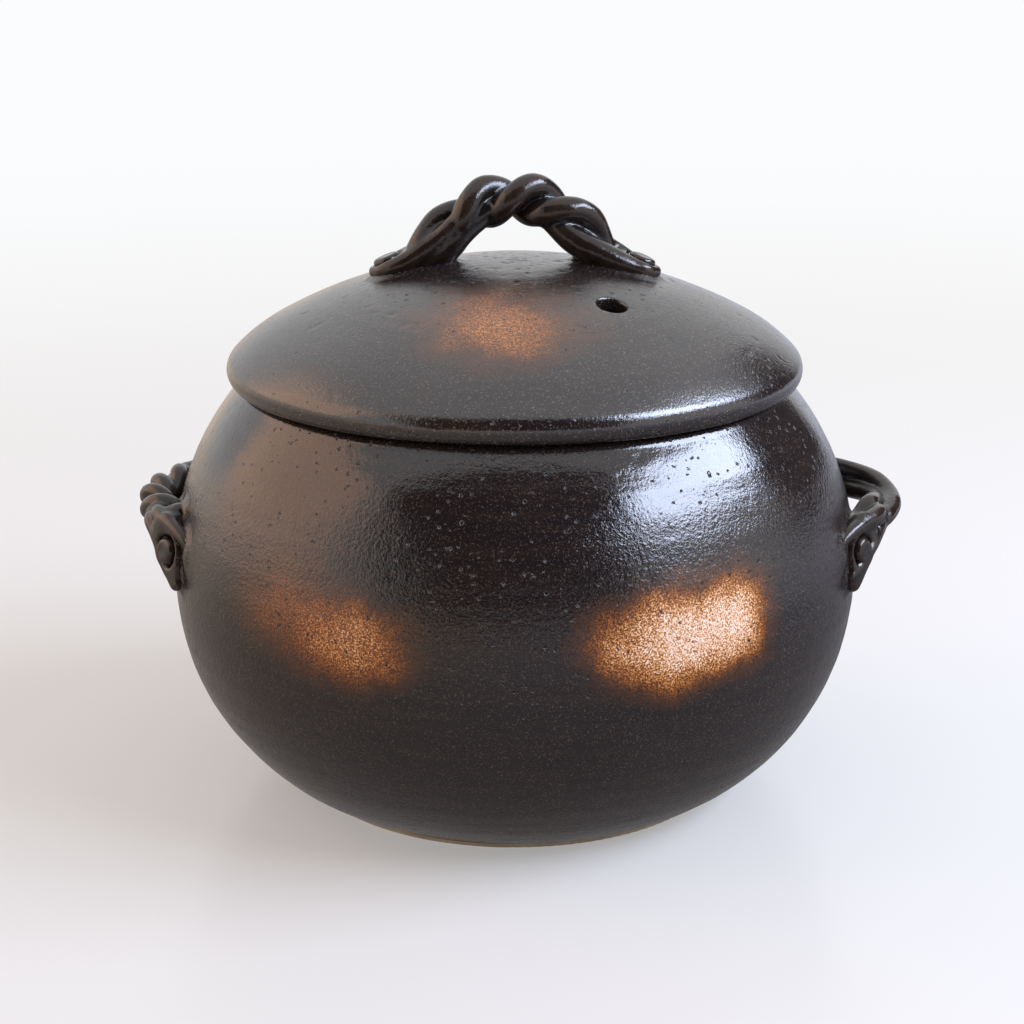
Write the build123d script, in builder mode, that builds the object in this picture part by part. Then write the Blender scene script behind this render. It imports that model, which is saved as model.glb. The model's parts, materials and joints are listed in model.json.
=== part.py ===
from build123d import *
import math
import os

# Donabe: a thrown stoneware pot with a domed lid and three handles of twisted clay.
# Millimetres. +Z up, +X towards the right handle, origin at the middle of the foot's underside.

# Pot body
belly_radius = 108.6
belly_height = 70.5
belly_curve_radius = 88.0
lower_curve_radius = 72.0
lower_curve_start_angle = 20.0
pot_wall = 8.0
pot_rim_height = 130.6
pot_rim_round = 3.0
pot_edge_height = 1.8
pot_floor_round = 18.0

# Foot ring
foot_radius = 68.6
foot_ring_width = 12.5
foot_height = 5.0
foot_fit_gap = 0.1
foot_edge_round = 0.8

# Lid shell
lid_top_height = 167.5
lid_crown_curve_radius = 160.0
lid_crown_reach = 76.0
lid_bevel_curve_radius = 50.0
lid_bevel_end_angle = 46.0
lid_lip_round = 6.0
lid_lip_edge_round = 0.8
lid_wall = 8.0
lid_seat_gap = 0.2
lid_flange_play = 1.5
lid_flange_thickness = 6.0
lid_flange_depth = 8.0
lid_flange_root_round = 2.0
lid_flange_tip_round = 2.4
lid_inner_round = 9.0

# Steam hole
steam_hole_radius = 4.5
steam_hole_right = 28.6
steam_hole_front = 37.5

# Lid handle: two coils twisted along an arch
lid_strand_thickness = 8.2
lid_strand_gap = 0.12
lid_arch_top_height = 186.0
lid_arch_crown_radius = 27.0
lid_arch_crown_angle = 52.0
lid_arch_leg = 28.0
lid_middle_half_turns = 0.1
lid_half_turns = 4.2
lid_twist_ease_share = 0.79

# Lid handle's pads and buttons
lid_lug_middle = 38.7
lid_lug_rise = 4.9
lid_lug_lean_angle = 8.0
lid_lug_radius = 7.4
lid_lug_tip_reach = 5.2
lid_lug_tip_radius = 3.4
lid_lug_root_reach = 7.0
lid_lug_root_radius = 7.0
lid_lug_edge_round = 2.2
lid_button_radius = 4.2
lid_button_groove = 1.2
lid_button_recess = 1.6
lid_button_rise = 0.5

# Side handles: two coils twisted along a bow
right_handle_reach = 123.4
left_handle_reach = 120.1
bow_height = 90.5
bow_end_angle = 18.0
bow_end_depth = 6.0
side_strand_thickness = 6.0
side_strand_gap = 0.12
side_twist_ease_share = 0.1
left_hand = 1
left_middle_half_turns = 3.5
left_half_turns = 6.0
right_hand = 1
right_middle_half_turns = -0.5
right_half_turns = 1.2

# Side handles' pads and buttons
side_button_height = 83.2
side_lug_rise = 4.8
side_lug_twist_angle = 23.0
side_lug_lean_angle = 8.0
side_lug_slant_angle = 28.0
side_lug_radius = 6.6
side_lug_tip_reach = 10.4
side_lug_tip_radius = 2.6
side_lug_root_reach = 6.3
side_lug_root_radius = 6.2
side_lug_edge_round = 1.8
side_button_radius = 3.9
side_button_groove = 1.2
side_button_recess = 1.5
side_button_rise = 0.4

# Steps between the points that set a coil's line
coil_steps = 30

# Cuts run past the faces they open by this much
overrun = 2.0

os.makedirs("parts", exist_ok=True)


def save(piece, name):
    """Label a finished piece and write its file."""
    piece.part.label = name
    export_step(piece.part, "parts/" + name + ".step")


def polar(centre, radius, angle):
    """Point of an outline at an angle, in degrees up from level."""
    turn = math.radians(angle)
    return (centre[0] + radius * math.cos(turn), centre[1] + radius * math.sin(turn))


def angle_at_height(centre, radius, height):
    """Angle at which an arc passes a height."""
    return math.degrees(math.asin((height - centre[1]) / radius))


# Pot outline: the belly's arc runs into a tighter one below, both with walls of even thickness
belly_centre = (belly_radius - belly_curve_radius, belly_height)
lower_start = polar(belly_centre, belly_curve_radius, -lower_curve_start_angle)
lower_centre = polar(lower_start, -lower_curve_radius, -lower_curve_start_angle)
rim_angle = angle_at_height(belly_centre, belly_curve_radius, pot_rim_height)
edge_angle = angle_at_height(lower_centre, lower_curve_radius, pot_edge_height)
inner_belly_radius = belly_curve_radius - pot_wall
inner_lower_radius = lower_curve_radius - pot_wall
pot_floor_height = foot_height + pot_wall
floor_angle = angle_at_height(lower_centre, inner_lower_radius, pot_floor_height)
mouth_angle = angle_at_height(belly_centre, inner_belly_radius, pot_rim_height)
mouth_radius = polar(belly_centre, inner_belly_radius, mouth_angle)[0]
foot_seat_radius = foot_radius + foot_fit_gap


def pot_radius(height):
    """Outside radius of the pot at a height on its belly's arc."""
    angle = angle_at_height(belly_centre, belly_curve_radius, height)
    return polar(belly_centre, belly_curve_radius, angle)[0]


def pot_outer_arcs():
    """Draw the two arcs of the pot's outside, the upper one first."""
    upper_arc = CenterArc(belly_centre, belly_curve_radius, -lower_curve_start_angle,
                          rim_angle + lower_curve_start_angle)
    lower_arc = CenterArc(lower_centre, lower_curve_radius, edge_angle, -lower_curve_start_angle - edge_angle)
    return upper_arc, lower_arc


# The pot's outside as one solid, which seats the side handles
with BuildPart() as pot_outside:
    with BuildSketch(Plane.XZ):
        with BuildLine():
            outer_upper, outer_lower = pot_outer_arcs()
            Polyline(outer_lower @ 0, (0, pot_edge_height), (0, pot_rim_height), outer_upper @ 1)
        make_face()
    revolve(axis=Axis.Z)

with BuildPart() as pot_body:
    with BuildSketch(Plane.XZ) as pot_section:
        with BuildLine():
            outer_upper, outer_lower = pot_outer_arcs()
            Polyline(outer_lower @ 0, (foot_seat_radius, pot_edge_height), (foot_seat_radius, foot_height),
                     (0, foot_height), (0, pot_floor_height),
                     polar(lower_centre, inner_lower_radius, floor_angle))
            CenterArc(lower_centre, inner_lower_radius, floor_angle, -lower_curve_start_angle - floor_angle)
            inner_upper = CenterArc(belly_centre, inner_belly_radius, -lower_curve_start_angle,
                                    mouth_angle + lower_curve_start_angle)
            Line(inner_upper @ 1, outer_upper @ 1)
        make_face()
        fillet(pot_section.vertices().group_by(Axis.Y)[-1], pot_rim_round)
        floor_corner = polar(lower_centre, inner_lower_radius, floor_angle)
        fillet(pot_section.vertices().sort_by_distance(floor_corner)[0], pot_floor_round)
    revolve(axis=Axis.Z)
save(pot_body, "pot_body")

with BuildPart() as foot_ring:
    with BuildSketch(Plane.XZ) as foot_section:
        with Locations((foot_radius - foot_ring_width / 2, foot_height / 2)):
            Rectangle(foot_ring_width, foot_height)
        fillet(foot_section.vertices().group_by(Axis.Y)[0], foot_edge_round)
    revolve(axis=Axis.Z)
save(foot_ring, "foot_ring")


# Lid outline: crown, bevel and rounded lip, each arc running into the next
lid_seat_height = pot_rim_height + lid_seat_gap
crown_centre = (0, lid_top_height - lid_crown_curve_radius)
crown_end_angle = 90 - math.degrees(math.asin(lid_crown_reach / lid_crown_curve_radius))
bevel_start = polar(crown_centre, lid_crown_curve_radius, crown_end_angle)
bevel_centre = polar(bevel_start, -lid_bevel_curve_radius, crown_end_angle)
lip_start_angle = 90 - lid_bevel_end_angle
lip_start = polar(bevel_centre, lid_bevel_curve_radius, lip_start_angle)
lip_centre = polar(lip_start, -lid_lip_round, lip_start_angle)
lip_end_angle = angle_at_height(lip_centre, lid_lip_round, lid_seat_height)
lid_inner_curve_radius = lid_crown_curve_radius - lid_wall
flange_outer_radius = mouth_radius - lid_flange_play
flange_inner_radius = flange_outer_radius - lid_flange_thickness
flange_tip_height = lid_seat_height - lid_flange_depth
flange_root = (flange_outer_radius, lid_seat_height)
inner_crown_angle = math.degrees(math.acos(flange_inner_radius / lid_inner_curve_radius))
inner_crown_end = polar(crown_centre, lid_inner_curve_radius, inner_crown_angle)


def lid_height(radius):
    """Height of the lid's crown at a distance from its middle."""
    return crown_centre[1] + math.sqrt(lid_crown_curve_radius ** 2 - radius ** 2)


def crown_plane(across, deep, rise, lean_angle):
    """Plane raised above the lid's crown and leaning outwards, its first axis pointing outwards."""
    foot = Vector(across, deep, lid_height(math.hypot(across, deep)))
    normal = (foot - Vector(0, 0, crown_centre[1])).normalized()
    outwards = Vector(across, deep, 0).normalized()
    turn = math.radians(lean_angle)
    return Plane(origin=foot + normal * rise, x_dir=outwards,
                 z_dir=normal * math.cos(turn) + outwards * math.sin(turn))


def draw_crown():
    """Draw the crown's arc, from its edge to the lid's middle."""
    return CenterArc(crown_centre, lid_crown_curve_radius, crown_end_angle, 90 - crown_end_angle)


# The lid's outside as one solid, which seats the lid handle
with BuildPart() as lid_outside:
    with BuildSketch(Plane.XZ):
        with BuildLine():
            crown = draw_crown()
            Polyline(crown @ 1, (0, lid_seat_height), (bevel_start[0], lid_seat_height), crown @ 0)
        make_face()
    revolve(axis=Axis.Z)

with BuildPart() as lid_shell:
    with BuildSketch(Plane.XZ) as lid_section:
        with BuildLine():
            outer_crown = draw_crown()
            CenterArc(bevel_centre, lid_bevel_curve_radius, lip_start_angle,
                      crown_end_angle - lip_start_angle)
            lip = CenterArc(lip_centre, lid_lip_round, lip_end_angle, lip_start_angle - lip_end_angle)
            Polyline(lip @ 0, flange_root, (flange_outer_radius, flange_tip_height),
                     (flange_inner_radius, flange_tip_height), inner_crown_end)
            inner = CenterArc(crown_centre, lid_inner_curve_radius, inner_crown_angle, 90 - inner_crown_angle)
            Line(inner @ 1, outer_crown @ 1)
        make_face()
        fillet(lid_section.vertices().group_by(Axis.Y)[0], lid_flange_tip_round)
        fillet(lid_section.vertices().sort_by_distance(lip @ 0)[0], lid_lip_edge_round)
        fillet(lid_section.vertices().sort_by_distance(flange_root)[0], lid_flange_root_round)
        fillet(lid_section.vertices().sort_by_distance(inner_crown_end)[0], lid_inner_round)
    revolve(axis=Axis.Z)
    with Locations(crown_plane(steam_hole_right, -steam_hole_front, overrun, 0)):
        Hole(steam_hole_radius, lid_wall + overrun + overrun)
save(lid_shell, "lid_shell")


def coil_route(path, side, hand, twist, thickness, gap):
    """Middle line of one of the two coils twisted round a path.

    The twist is the half turns from the side direction at the path's middle, the half turns along
    the whole path, and the share by which it tightens at the middle and slackens at the ends.
    The hand is 1 or -1 for the way the coil winds."""
    middle_half_turns, half_turns, ease_share = twist
    spread = (thickness + gap) / 2
    points = []
    for step in range(coil_steps + 1):
        share = step / coil_steps
        along = path % share
        from_middle = share - 1 / 2
        eased = from_middle + ease_share * math.sin(math.tau * from_middle) / math.tau
        turn = math.pi * (middle_half_turns + half_turns * eased)
        offset = side * math.cos(turn) + side.cross(along) * hand * math.sin(turn)
        points.append(path @ share + offset * spread)
    return points


def make_coil(route, thickness, seat, name):
    """One twisted coil, trimmed to bed on the wall at both its ends."""
    with BuildPart() as coil:
        with BuildLine():
            middle_line = Spline(route)
        with BuildSketch(Plane(origin=middle_line @ 0, z_dir=middle_line % 0)):
            Circle(thickness / 2)
        sweep(path=middle_line)
        add(seat, mode=Mode.SUBTRACT)
    save(coil, name)
    return coil.part


def recess_cutter(plane, radius, recess, reach):
    """Round bit that presses a button's recess into whatever stands there."""
    with BuildPart() as cutter:
        with BuildSketch(plane.offset(-recess)):
            Circle(radius)
        extrude(amount=recess + reach)
    return cutter.part


def make_lug(plane, shape, depth, cuts, name):
    """A leaf-shaped pad with a round recess for its button, bedded on the clay below it."""
    radius, root_reach, root_radius, tip_reach, tip_radius, edge_round = shape
    with BuildPart() as lug:
        with BuildSketch(plane):
            with BuildLine():
                CenterArc((0, 0), radius, 0, 360)
                CenterArc((-root_reach, 0), root_radius, 0, 360)
                CenterArc((tip_reach, 0), tip_radius, 0, 360)
            make_hull()
        extrude(amount=-depth)
        fillet(lug.faces().sort_by(Axis(plane.origin, plane.z_dir))[-1].edges(), edge_round)
        for cut in cuts:
            add(cut, mode=Mode.SUBTRACT)
    save(lug, name)


def make_button(plane, radius, recess, rise, name):
    """A round clay button standing in its pad's recess, its edge rounded by most of its rise."""
    height = recess + rise
    with BuildPart() as button:
        with BuildSketch(plane.offset(-recess)):
            Circle(radius)
        extrude(amount=height)
        fillet(button.faces().sort_by(Axis(plane.origin, plane.z_dir))[-1].edges(), height / 2)
    save(button, name)


# Lid handle: the arch's round crown and straight legs, which run on into the lid
crown_turn = math.radians(lid_arch_crown_angle)
arch_foot = lid_arch_crown_radius * math.sin(crown_turn) + lid_arch_leg * math.cos(crown_turn)
arch_foot_height = (lid_arch_top_height - lid_arch_crown_radius * (1 - math.cos(crown_turn))
                    - lid_arch_leg * math.sin(crown_turn))
with BuildLine(Plane.XZ) as arch_line:
    left_leg = PolarLine((-arch_foot, arch_foot_height), lid_arch_leg, lid_arch_crown_angle)
    top = JernArc(left_leg @ 1, left_leg % 1, lid_arch_crown_radius,
                  -lid_arch_crown_angle - lid_arch_crown_angle)
    PolarLine(top @ 1, lid_arch_leg, -lid_arch_crown_angle)
lid_arch = arch_line.wires()[0]
front = Vector(0, -1, 0)

lid_lug_shape = (lid_lug_radius, lid_lug_root_reach, lid_lug_root_radius, lid_lug_tip_reach,
                 lid_lug_tip_radius, lid_lug_edge_round)
lid_lug_planes = {"left": crown_plane(-lid_lug_middle, 0, lid_lug_rise, lid_lug_lean_angle),
                  "right": crown_plane(lid_lug_middle, 0, lid_lug_rise, lid_lug_lean_angle)}
lid_recess_radius = lid_button_radius + lid_button_groove
lid_cuts = [lid_outside.part]
for lug_plane in lid_lug_planes.values():
    lid_cuts.append(recess_cutter(lug_plane, lid_recess_radius, lid_button_recess, lid_strand_thickness))
for letter, start in (("a", 0), ("b", 1)):
    lid_twist = (lid_middle_half_turns + start, lid_half_turns, lid_twist_ease_share)
    coil_line = coil_route(lid_arch, front, 1, lid_twist, lid_strand_thickness, lid_strand_gap)
    coil_name = "lid_handle_strand_" + letter
    lid_cuts.append(make_coil(coil_line, lid_strand_thickness, lid_outside.part, coil_name))
for end, lug_plane in lid_lug_planes.items():
    end_name = "lid_handle_" + end
    make_lug(lug_plane, lid_lug_shape, lid_lug_rise + lid_wall, lid_cuts, end_name + "_lug")
    make_button(lug_plane, lid_button_radius, lid_button_recess, lid_button_rise, end_name + "_button")


# Side handles: a bow from wall to wall, level with the belly's upper half
bow_end = pot_radius(bow_height) - bow_end_depth
bow_end_turn = math.radians(bow_end_angle)
side_lug_shape = (side_lug_radius, side_lug_root_reach, side_lug_root_radius, side_lug_tip_reach,
                  side_lug_tip_radius, side_lug_edge_round)
lug_out = pot_radius(side_button_height) + side_lug_rise
lug_turn = math.radians(bow_end_angle + side_lug_twist_angle)
lug_lean = math.radians(side_lug_lean_angle)
lug_slant = math.radians(side_lug_slant_angle)


def side_lug_plane(way, deep):
    """Outer face of a side handle's pad, its first axis pointing down to the pad's tip.

    The way is 1 at the right handle and -1 at the left, deep is -1 at the front and 1 at the rear."""
    level = math.cos(lug_lean)
    normal = Vector(way * math.cos(lug_turn) * level, deep * math.sin(lug_turn) * level, math.sin(lug_lean))
    origin = Vector(way * lug_out * math.cos(bow_end_turn), deep * lug_out * math.sin(bow_end_turn),
                    side_button_height)
    inwards = Vector(-way * math.sin(lug_turn), deep * math.cos(lug_turn), 0)
    tip_way = Vector(0, 0, -1) * math.cos(lug_slant) + inwards * math.sin(lug_slant)
    return Plane(origin=origin, x_dir=tip_way, z_dir=normal)


side_handles = (
    ("right_handle", 1, right_handle_reach, right_hand, right_middle_half_turns, right_half_turns),
    ("left_handle", -1, left_handle_reach, left_hand, left_middle_half_turns, left_half_turns),
)
bow_end_x = bow_end * math.cos(bow_end_turn)
bow_end_y = bow_end * math.sin(bow_end_turn)
side_recess_radius = side_button_radius + side_button_groove
for name, way, reach, hand, middle_half_turns, half_turns in side_handles:
    bow_middle = reach - side_strand_thickness - side_strand_gap / 2
    with BuildLine(Plane.XY.offset(bow_height)):
        bow = ThreePointArc((way * bow_end_x, -bow_end_y), (way * bow_middle, 0),
                            (way * bow_end_x, bow_end_y))
    lug_planes = {"front": side_lug_plane(way, -1), "rear": side_lug_plane(way, 1)}
    cuts = [pot_outside.part]
    for lug_plane in lug_planes.values():
        cuts.append(recess_cutter(lug_plane, side_recess_radius, side_button_recess, side_strand_thickness))
    for letter, start in (("a", 0), ("b", 1)):
        twist = (middle_half_turns + start, half_turns, side_twist_ease_share)
        coil_line = coil_route(bow, Vector(0, 0, 1), hand, twist, side_strand_thickness, side_strand_gap)
        cuts.append(make_coil(coil_line, side_strand_thickness, pot_outside.part, name + "_strand_" + letter))
    for end, lug_plane in lug_planes.items():
        end_name = name + "_" + end
        make_lug(lug_plane, side_lug_shape, side_lug_rise + pot_wall, cuts, end_name + "_lug")
        make_button(lug_plane, side_button_radius, side_button_recess, side_button_rise, end_name + "_button")
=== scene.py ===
"""Donabe rice pot: thrown stoneware under a dark iron glaze, with handles of twisted clay."""

import json
import logging
import math
from dataclasses import dataclass, field
from enum import Enum
from typing import Any

import bmesh
import bpy
import numpy as np
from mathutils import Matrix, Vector, noise
from mathutils.bvhtree import BVHTree
from mathutils.kdtree import KDTree


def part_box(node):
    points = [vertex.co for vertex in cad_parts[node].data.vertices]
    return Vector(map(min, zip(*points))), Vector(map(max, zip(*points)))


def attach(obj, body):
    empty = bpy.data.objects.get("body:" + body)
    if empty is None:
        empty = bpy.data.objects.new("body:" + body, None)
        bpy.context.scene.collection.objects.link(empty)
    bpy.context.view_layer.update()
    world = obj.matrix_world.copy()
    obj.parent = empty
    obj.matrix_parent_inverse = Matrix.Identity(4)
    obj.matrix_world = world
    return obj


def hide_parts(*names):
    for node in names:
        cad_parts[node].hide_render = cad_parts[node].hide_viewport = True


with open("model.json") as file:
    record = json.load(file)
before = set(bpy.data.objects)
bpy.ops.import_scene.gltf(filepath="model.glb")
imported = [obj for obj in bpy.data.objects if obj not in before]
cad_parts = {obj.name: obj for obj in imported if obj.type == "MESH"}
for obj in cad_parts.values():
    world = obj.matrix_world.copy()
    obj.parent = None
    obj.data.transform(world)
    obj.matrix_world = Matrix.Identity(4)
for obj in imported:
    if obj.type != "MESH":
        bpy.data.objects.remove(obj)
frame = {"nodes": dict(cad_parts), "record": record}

LOG = logging.getLogger("donabe")

MM = 0.001  # one millimetre in the scene's metres

Point = tuple[float, float]
Route = tuple[tuple[float, float, float], ...]
Colour = tuple[float, float, float, float]
Link = bpy.types.NodeSocket | bpy.types.Node

WHOLE: Point = (0.0, 1.0)
MIDDLE: Point = (0.3, 0.7)  # most of a noise pattern's values lie between these
PIT_CHANCE: Point = (0.25, 1.0)  # a place that draws less than the first has no pit
PIT_BOWL: Point = (-0.1, 0.06)  # from a pit's bottom to its brim, across its edge, as shares of the spacing


class Side(Enum):
    """Where a handle sits on the pot."""

    LEFT = "left_handle"
    RIGHT = "right_handle"
    LID = "lid_handle"


class Face(Enum):
    """Whether a stretch of a thrown wall is seen or lies inside."""

    OUTSIDE = 1.0
    INSIDE = 0.0


class Kind(Enum):
    """The kinds of shader node that the finishes and the studio use."""

    PLACE = "ShaderNodeTexCoord"
    NOISE = "ShaderNodeTexNoise"
    CELLS = "ShaderNodeTexVoronoi"
    STORED = "ShaderNodeAttribute"
    MAPPING = "ShaderNodeMapping"
    RANGE = "ShaderNodeMapRange"
    SUM = "ShaderNodeMath"
    VECTOR_SUM = "ShaderNodeVectorMath"
    SPLIT_COLOUR = "ShaderNodeSeparateColor"
    SPLIT_VECTOR = "ShaderNodeSeparateXYZ"
    MIX = "ShaderNodeMix"
    BUMP = "ShaderNodeBump"
    RAY = "ShaderNodeLightPath"
    GLOSSY = "ShaderNodeBsdfPrincipled"
    MATT = "ShaderNodeBsdfDiffuse"
    GLOW = "ShaderNodeEmission"
    BACKGROUND = "ShaderNodeBackground"
    MIX_SHADER = "ShaderNodeMixShader"
    MATERIAL = "ShaderNodeOutputMaterial"
    WORLD = "ShaderNodeOutputWorld"


def linear(colour: str) -> Colour:
    """Turn an sRGB hex colour into linear light.

    Args:
        colour: The colour as "#rrggbb".

    Returns:
        Red, green, blue and full opacity.
    """
    shares = (int(colour[i:i + 2], 16) / 255 for i in (1, 3, 5))
    red, green, blue = (s / 12.92 if s <= 0.04045 else ((s + 0.055) / 1.055) ** 2.4 for s in shares)
    return (red, green, blue, 1.0)


def polar(centre: Point, radius: float, angle: float) -> Point:
    """Give the point of an outline at an angle.

    Args:
        centre: The arc's centre.
        radius: The arc's radius.
        angle: Degrees up from level.

    Returns:
        Distance from the axis and height.
    """
    turn = math.radians(angle)
    return (centre[0] + radius * math.cos(turn), centre[1] + radius * math.sin(turn))


def angle_at_height(centre: Point, radius: float, height: float) -> float:
    """Give the angle at which an arc passes a height.

    Args:
        centre: The arc's centre.
        radius: The arc's radius.
        height: The height wanted.

    Returns:
        Degrees up from level.
    """
    return math.degrees(math.asin((height - centre[1]) / radius))


def add_node(tree: bpy.types.NodeTree, kind: Kind, values: dict[Any, Any]) -> bpy.types.Node:
    """Add one shader node with its settings and links.

    Args:
        tree: The node tree.
        kind: The node's kind.
        values: Settings by the name of a property, and for the name or number of an input a value, a
            hex colour, another node's output, or another node, whose first output is then linked.

    Returns:
        The node.
    """
    node = tree.nodes.new(kind.value)
    for key, value in values.items():
        if isinstance(value, Link):
            output = value.outputs[0] if isinstance(value, bpy.types.Node) else value
            tree.links.new(output, node.inputs[key])
        elif isinstance(key, str) and hasattr(node, key):
            setattr(node, key, value)
        else:
            node.inputs[key].default_value = linear(value) if isinstance(value, str) else value
    return node


def new_material(name: str) -> tuple[bpy.types.Material, bpy.types.NodeTree]:
    """Make an empty material.

    Args:
        name: The material's name.

    Returns:
        The material and its empty node tree.
    """
    material = bpy.data.materials.new(name)
    material.use_nodes = True
    material.node_tree.nodes.clear()
    return material, material.node_tree


def cloudy(size: float, detail: float = 2.0, roughness: float = 0.5) -> dict[str, float]:
    """Give a noise pattern's settings from its real size.

    Args:
        size: The pattern's size in millimetres.
        detail: How many finer layers lie on it.
        roughness: How strong the finer layers are.

    Returns:
        The settings by the names of the inputs.
    """
    return {"Scale": 1 / (size * MM), "Detail": detail, "Roughness": roughness}


def spans(source: Point, target: Point = WHOLE) -> dict[str, float]:
    """Give the settings that carry a value from one range to another.

    Args:
        source: The range it comes from.
        target: The range it goes to, and is held in.

    Returns:
        The settings by the names of the inputs.
    """
    return {"From Min": source[0], "From Max": source[1], "To Min": target[0], "To Max": target[1]}


def coloured(tree: bpy.types.NodeTree, value: Link, first: Link | str, second: Link | str, source: Point,
             most: float = 1.0, smooth: bool = False) -> bpy.types.NodeSocket:
    """Let one colour give way to another as a value grows.

    Args:
        tree: The node tree.
        value: The value.
        first: The colour below the range, linked or hex.
        second: The colour above the range, linked or hex.
        source: The range in which the first gives way.
        most: How much of the second colour shows above the range.
        smooth: Whether the change eases in and out.

    Returns:
        The colour.
    """
    ease = "SMOOTHSTEP" if smooth else "LINEAR"
    share = add_node(tree, Kind.RANGE, {"interpolation_type": ease, 0: value, **spans(source, (0.0, most))})
    return add_node(tree, Kind.MIX, {"data_type": "RGBA", 0: share, 6: first, 7: second}).outputs[2]


def pitted(tree: bpy.types.NodeTree, point: Link, spacing: float, reach: float,
           ragged: Link) -> bpy.types.Node:
    """Scatter small pits, some of them too small to open.

    Args:
        tree: The node tree.
        point: The place on the surface, in metres.
        spacing: The distance between pits in millimetres.
        reach: The largest pit's radius, as a share of the spacing.
        ragged: What makes their edges uneven, around nothing.

    Returns:
        Nothing in a pit and one beside it, with a bowl between.
    """
    cells = add_node(tree, Kind.CELLS, {"feature": "F1", "Scale": 1 / (spacing * MM), "Vector": point})
    chosen = add_node(tree, Kind.SPLIT_COLOUR, {0: cells.outputs["Color"]})
    radius = add_node(tree, Kind.RANGE, {0: chosen, **spans(PIT_CHANCE, (0.0, reach))})
    uneven = add_node(tree, Kind.SUM, {"operation": "ADD", 0: cells.outputs["Distance"], 1: ragged})
    away = add_node(tree, Kind.SUM, {"operation": "SUBTRACT", 0: uneven, 1: radius})
    return add_node(tree, Kind.RANGE, {"interpolation_type": "SMOOTHSTEP", 0: away, **spans(PIT_BOWL)})


def bumped(tree: bpy.types.NodeTree, reliefs: tuple[tuple[Link, float], ...]) -> bpy.types.Node:
    """Add fine reliefs, one on another, that the mesh is too coarse to hold.

    Args:
        tree: The node tree.
        reliefs: Each relief's height, from nothing to one, and its depth in millimetres.

    Returns:
        The node that gives the normal.
    """
    normal = None
    for height, depth in reliefs:
        below = {} if normal is None else {"Normal": normal}
        normal = add_node(tree, Kind.BUMP, {
            "Strength": 1.0, "Distance": depth * MM, "Height": height, **below})
    return normal


@dataclass(frozen=True)
class Flash:
    """A place where copper-coloured glaze was sprayed over the dark one, in millimetres."""

    across: float
    deep: float
    height: float
    half_width: float
    half_height: float
    strength: float


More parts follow.
